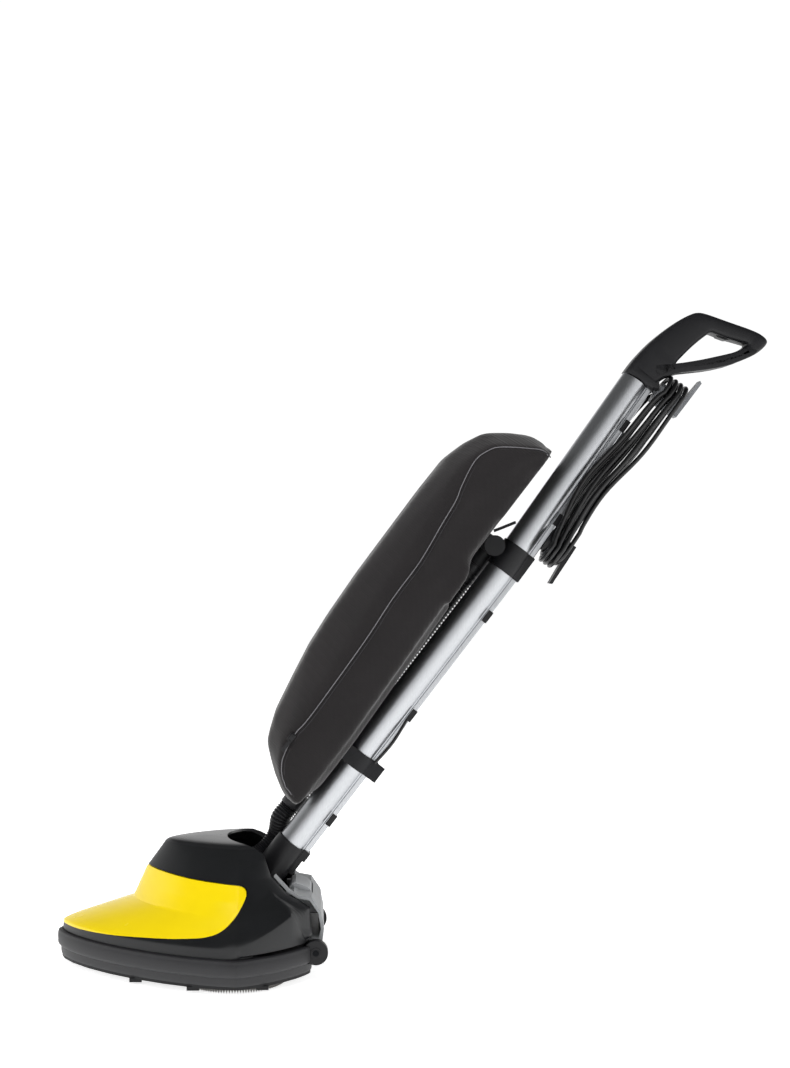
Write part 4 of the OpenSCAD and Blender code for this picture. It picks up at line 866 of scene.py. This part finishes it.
SWELL_FRAMES, CAP = 20, 0.005  # the cloth moves by no more than the cap, in metres
to_low = LOW.inverted()
even = bag.modifiers.new("even mesh", "REMESH")
even.mode, even.voxel_size = "VOXEL", 0.0065
settle(bag)
before = [v.co.copy() for v in bag.data.vertices]
swell = bag.modifiers.new("cloth", "CLOTH")
swell.settings.use_pressure = True
swell.settings.uniform_pressure_force = 4
swell.settings.effector_weights.gravity = 0
for frame in range(1, SWELL_FRAMES + 1):
    bpy.context.scene.frame_set(frame)
settle(bag)
bpy.context.scene.frame_set(1)
for v, start in zip(bag.data.vertices, before):  # the channel and the shoulder keep their cut
    moved, place = v.co - start, to_low @ v.co
    if place.x > -14 and (-20 < place.y < 50 or place.z > 480):
        v.co = start
    elif moved.length > CAP:
        v.co = start + moved.normalized() * CAP
finer = bag.modifiers.new("finer", "SUBSURF")
finer.levels = finer.render_levels = 1
settle(bag)
bag.data.materials.clear()
bag.data.materials.append(cloth)
bag.data.shade_smooth()
tree = BVHTree.FromObject(bag, bpy.context.evaluated_depsgraph_get())
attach(bag, "handle")
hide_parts("dust_bag")

SEAM = [(-10, 722), (-20, 723), (-48, 706), (-76, 682), (-86, 658), (-83, 631), (-78, 610), (-73, 592),
        (-68, 550), (-62, 501), (-61, 442), (-56, 375), (-53, 278), (-53, 240), (-55, 220), (-50, 190),
        (-41, 171), (-28, 157), (-10, 152)]


def on_bag(x, y, z, lift):
    """The nearest place on the cloth, a little above it, in the low frame."""
    place, normal, _, _ = tree.find_nearest(LOW @ Vector((x, y, z)))
    return to_low @ (place + normal * lift / 1000)


piping_black = grained("nylon piping, satin", "#1f1e20", "#2b2a2c", 0.45, 2.0, 0.4)
zip_grey = grained("nylon zip coil, grey", "#5f5e61", "#737275", 0.35, 1.5, 0.8)
for name, aside, shade in (("left", -80, zip_grey), ("right", 80, piping_black)):
    line = smooth_route([Vector((x, aside, z)) for x, z in SEAM], 6)
    line = smooth_route([on_bag(*p, 0.6) for p in line][::2], 2)
    trim = corded("bag_seam_" + name, [LOW @ p for p in line], 1.3, shade)
    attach(trim, "handle")
    behind = [on_bag(*p, 0.2) + Vector((4.5, 0, 0)) for p in line]
    tape = corded("bag_piping_" + name, [LOW @ p for p in behind], 1.6, piping_black)
    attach(tape, "handle")

# Filter bag: buff crepe paper, glued, pushed over the elbow's neck. Its foot is
# folded up and stands clear of the cloth.
filter_buff = grained("paper filter bag, buff", "#b9a67e", "#c7b58f", 0.85, 2.5, 0.5)
bm = bmesh.new()
bm.from_mesh(cad["filter_bag"].data)
bm.transform(to_low @ cad["filter_bag"].matrix_world)
FOLD_Z, FOLD_H, FOLD_RISE = 210, 60, 12
for v in bm.verts:
    v.co.z += FOLD_RISE * max(0, (FOLD_Z - v.co.z) / FOLD_H)
fit(bm, "filter_paper_bag", LOW, filter_buff, "handle", "filter_paper", "filter_bag")

# Zip slider: die-cast zinc, black, with a pull tab that hangs down. It stands
# near the lower end of the zip on the left seam.
bm = box((8, 4, 12), (0, 0, 0))
bmesh.ops.bevel(bm, geom=bm.edges[:], offset=1.4, segments=3, profile=0.5, affect="EDGES", material=-1)
tab = bmesh.ops.create_cube(bm, size=1)["verts"]
hanging = Matrix.Translation((1, -2.6, -13)) @ Matrix.Diagonal((5, 1.6, 17, 1))
bmesh.ops.transform(bm, verts=tab, matrix=hanging)
here = on_bag(-58, -84, 214, 1.5)
fit(bm, "zip_slider", LOW @ Matrix.Translation(here), satin_black, "handle", "bag_cloth", rounding=0.4)

# Elbow: black polypropylene, held to the collar, leads the air from the hose
# into the bag. Its near end is closed by a round cap.
softened("bag_elbow", "elbow_moulding", chassis_black, "handle", "handle_black", 2.5)

# Hose: black ribbed PVC. The straight length ends in a smooth cuff, and the
# short length to the fan is bent in one fixed curve, shaped for the handle at rest.
hose_black = grained("ribbed PVC hose, satin black", "#18181a", "#232325", 0.38, 1.5, 0.2)
HOSE_X, HOSE_Y, HOSE_Z0, HOSE_Z1, RIB_PITCH, SIDES = 8, 23, 150, 520, 5, 40
RIB = [(0.1, 12.0), (0.3, 13.6), (0.5, 14.0), (0.7, 13.6), (0.9, 12.0)]  # share of the pitch, then radius
CUFF = [(520, 12), (520.4, 14.2), (525, 14.2), (525.5, 13.4), (528, 13.4), (528.5, 14.4), (532, 14.4),
        (532.5, 13.4), (535, 13.4), (535.5, 14.4), (547, 14.4), (547.4, 12)]


def ribbed(bm, line, radii):
    """Rings square to a line, joined to a hose and closed at both ends."""
    rows = []
    for i, (place, radius) in enumerate(zip(line, radii)):
        ahead = (line[min(i + 1, len(line) - 1)] - line[max(i - 1, 0)]).normalized()
        side = ahead.cross(Vector((0, 1, 0))).normalized()
        over = ahead.cross(side)
        rows.append(ring(bm, [place + radius * (side * math.cos(a) + over * math.sin(a))
                              for a in angles(SIDES)]))
    skin(bm, rows)


bm = bmesh.new()
heights, radii = [126, 126.4, 127, 148, 149, 150], [12, 13.8, 14.5, 14.5, 13.8, 12.2]
ribs = int((HOSE_Z1 - HOSE_Z0) / RIB_PITCH)
for i in range(ribs):
    for share, radius in RIB:
        heights.append(HOSE_Z0 + (i + share) * (HOSE_Z1 - HOSE_Z0) / ribs)
        radii.append(radius)
for z, radius in CUFF:
    heights.append(z)
    radii.append(radius)
ribbed(bm, [Vector((HOSE_X, HOSE_Y, z)) for z in heights], radii)
fit(bm, "hose_straight", LOW, hose_black, "handle", "hose_black", "suction_hose", crisp=50)


def from_low(x, y, z):
    """A place in the handle's frame, as the base's frame has it at rest."""
    a = math.radians(TILT)
    return Vector((x * math.cos(a) + z * math.sin(a), y, PIVOT_Z - x * math.sin(a) + z * math.cos(a)))


flex = [Vector((14, 28, 137.5)), Vector((34, 28, 137.5)), Vector((52, 34, 148)), Vector((66, 36, 168)),
        from_low(8, 23, 105.7), from_low(8, 23, 125.7)]
line = smooth_route(flex, 24)
bm = bmesh.new()
ribbed(bm, line, [11.9 + 2.0 * abs(math.sin(math.pi * i / 4)) for i in range(len(line))])
bent = fit(bm, "hose_bend", BASE, hose_black, None, "hose_black", "hose_flex", crisp=60)
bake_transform(bent)

# Strap: 24 mm black polypropylene webbing, sewn to the back of the bag and
# closed round the tube, with a free tab behind it.
webbing = grained("polypropylene webbing, black", "#1a1a1c", "#262628", 0.75, 1.2, 0.9)
softened("strap", "strap_webbing", webbing, "handle", "strap_web", 0.4)

# Hanging loop: a thin strip of the strap's webbing, from the top of the elbow
# to the tube.
LOOP = [(-3, -12, 598), (2, -11, 606), (8, -9, 616), (14, -7, 626)]
bm = bmesh.new()
rows = []
for x, y, z in LOOP:
    rows.append(ring(bm, [(x - 1.6, y - 1, z + 1.2), (x + 1.6, y - 1, z - 1.2), (x + 1.6, y + 1, z - 1.2),
                          (x - 1.6, y + 1, z + 1.2)]))
skin(bm, rows)
fit(bm, "hanging_loop", LOW, webbing, "handle", "strap_web", rounding=0.2)
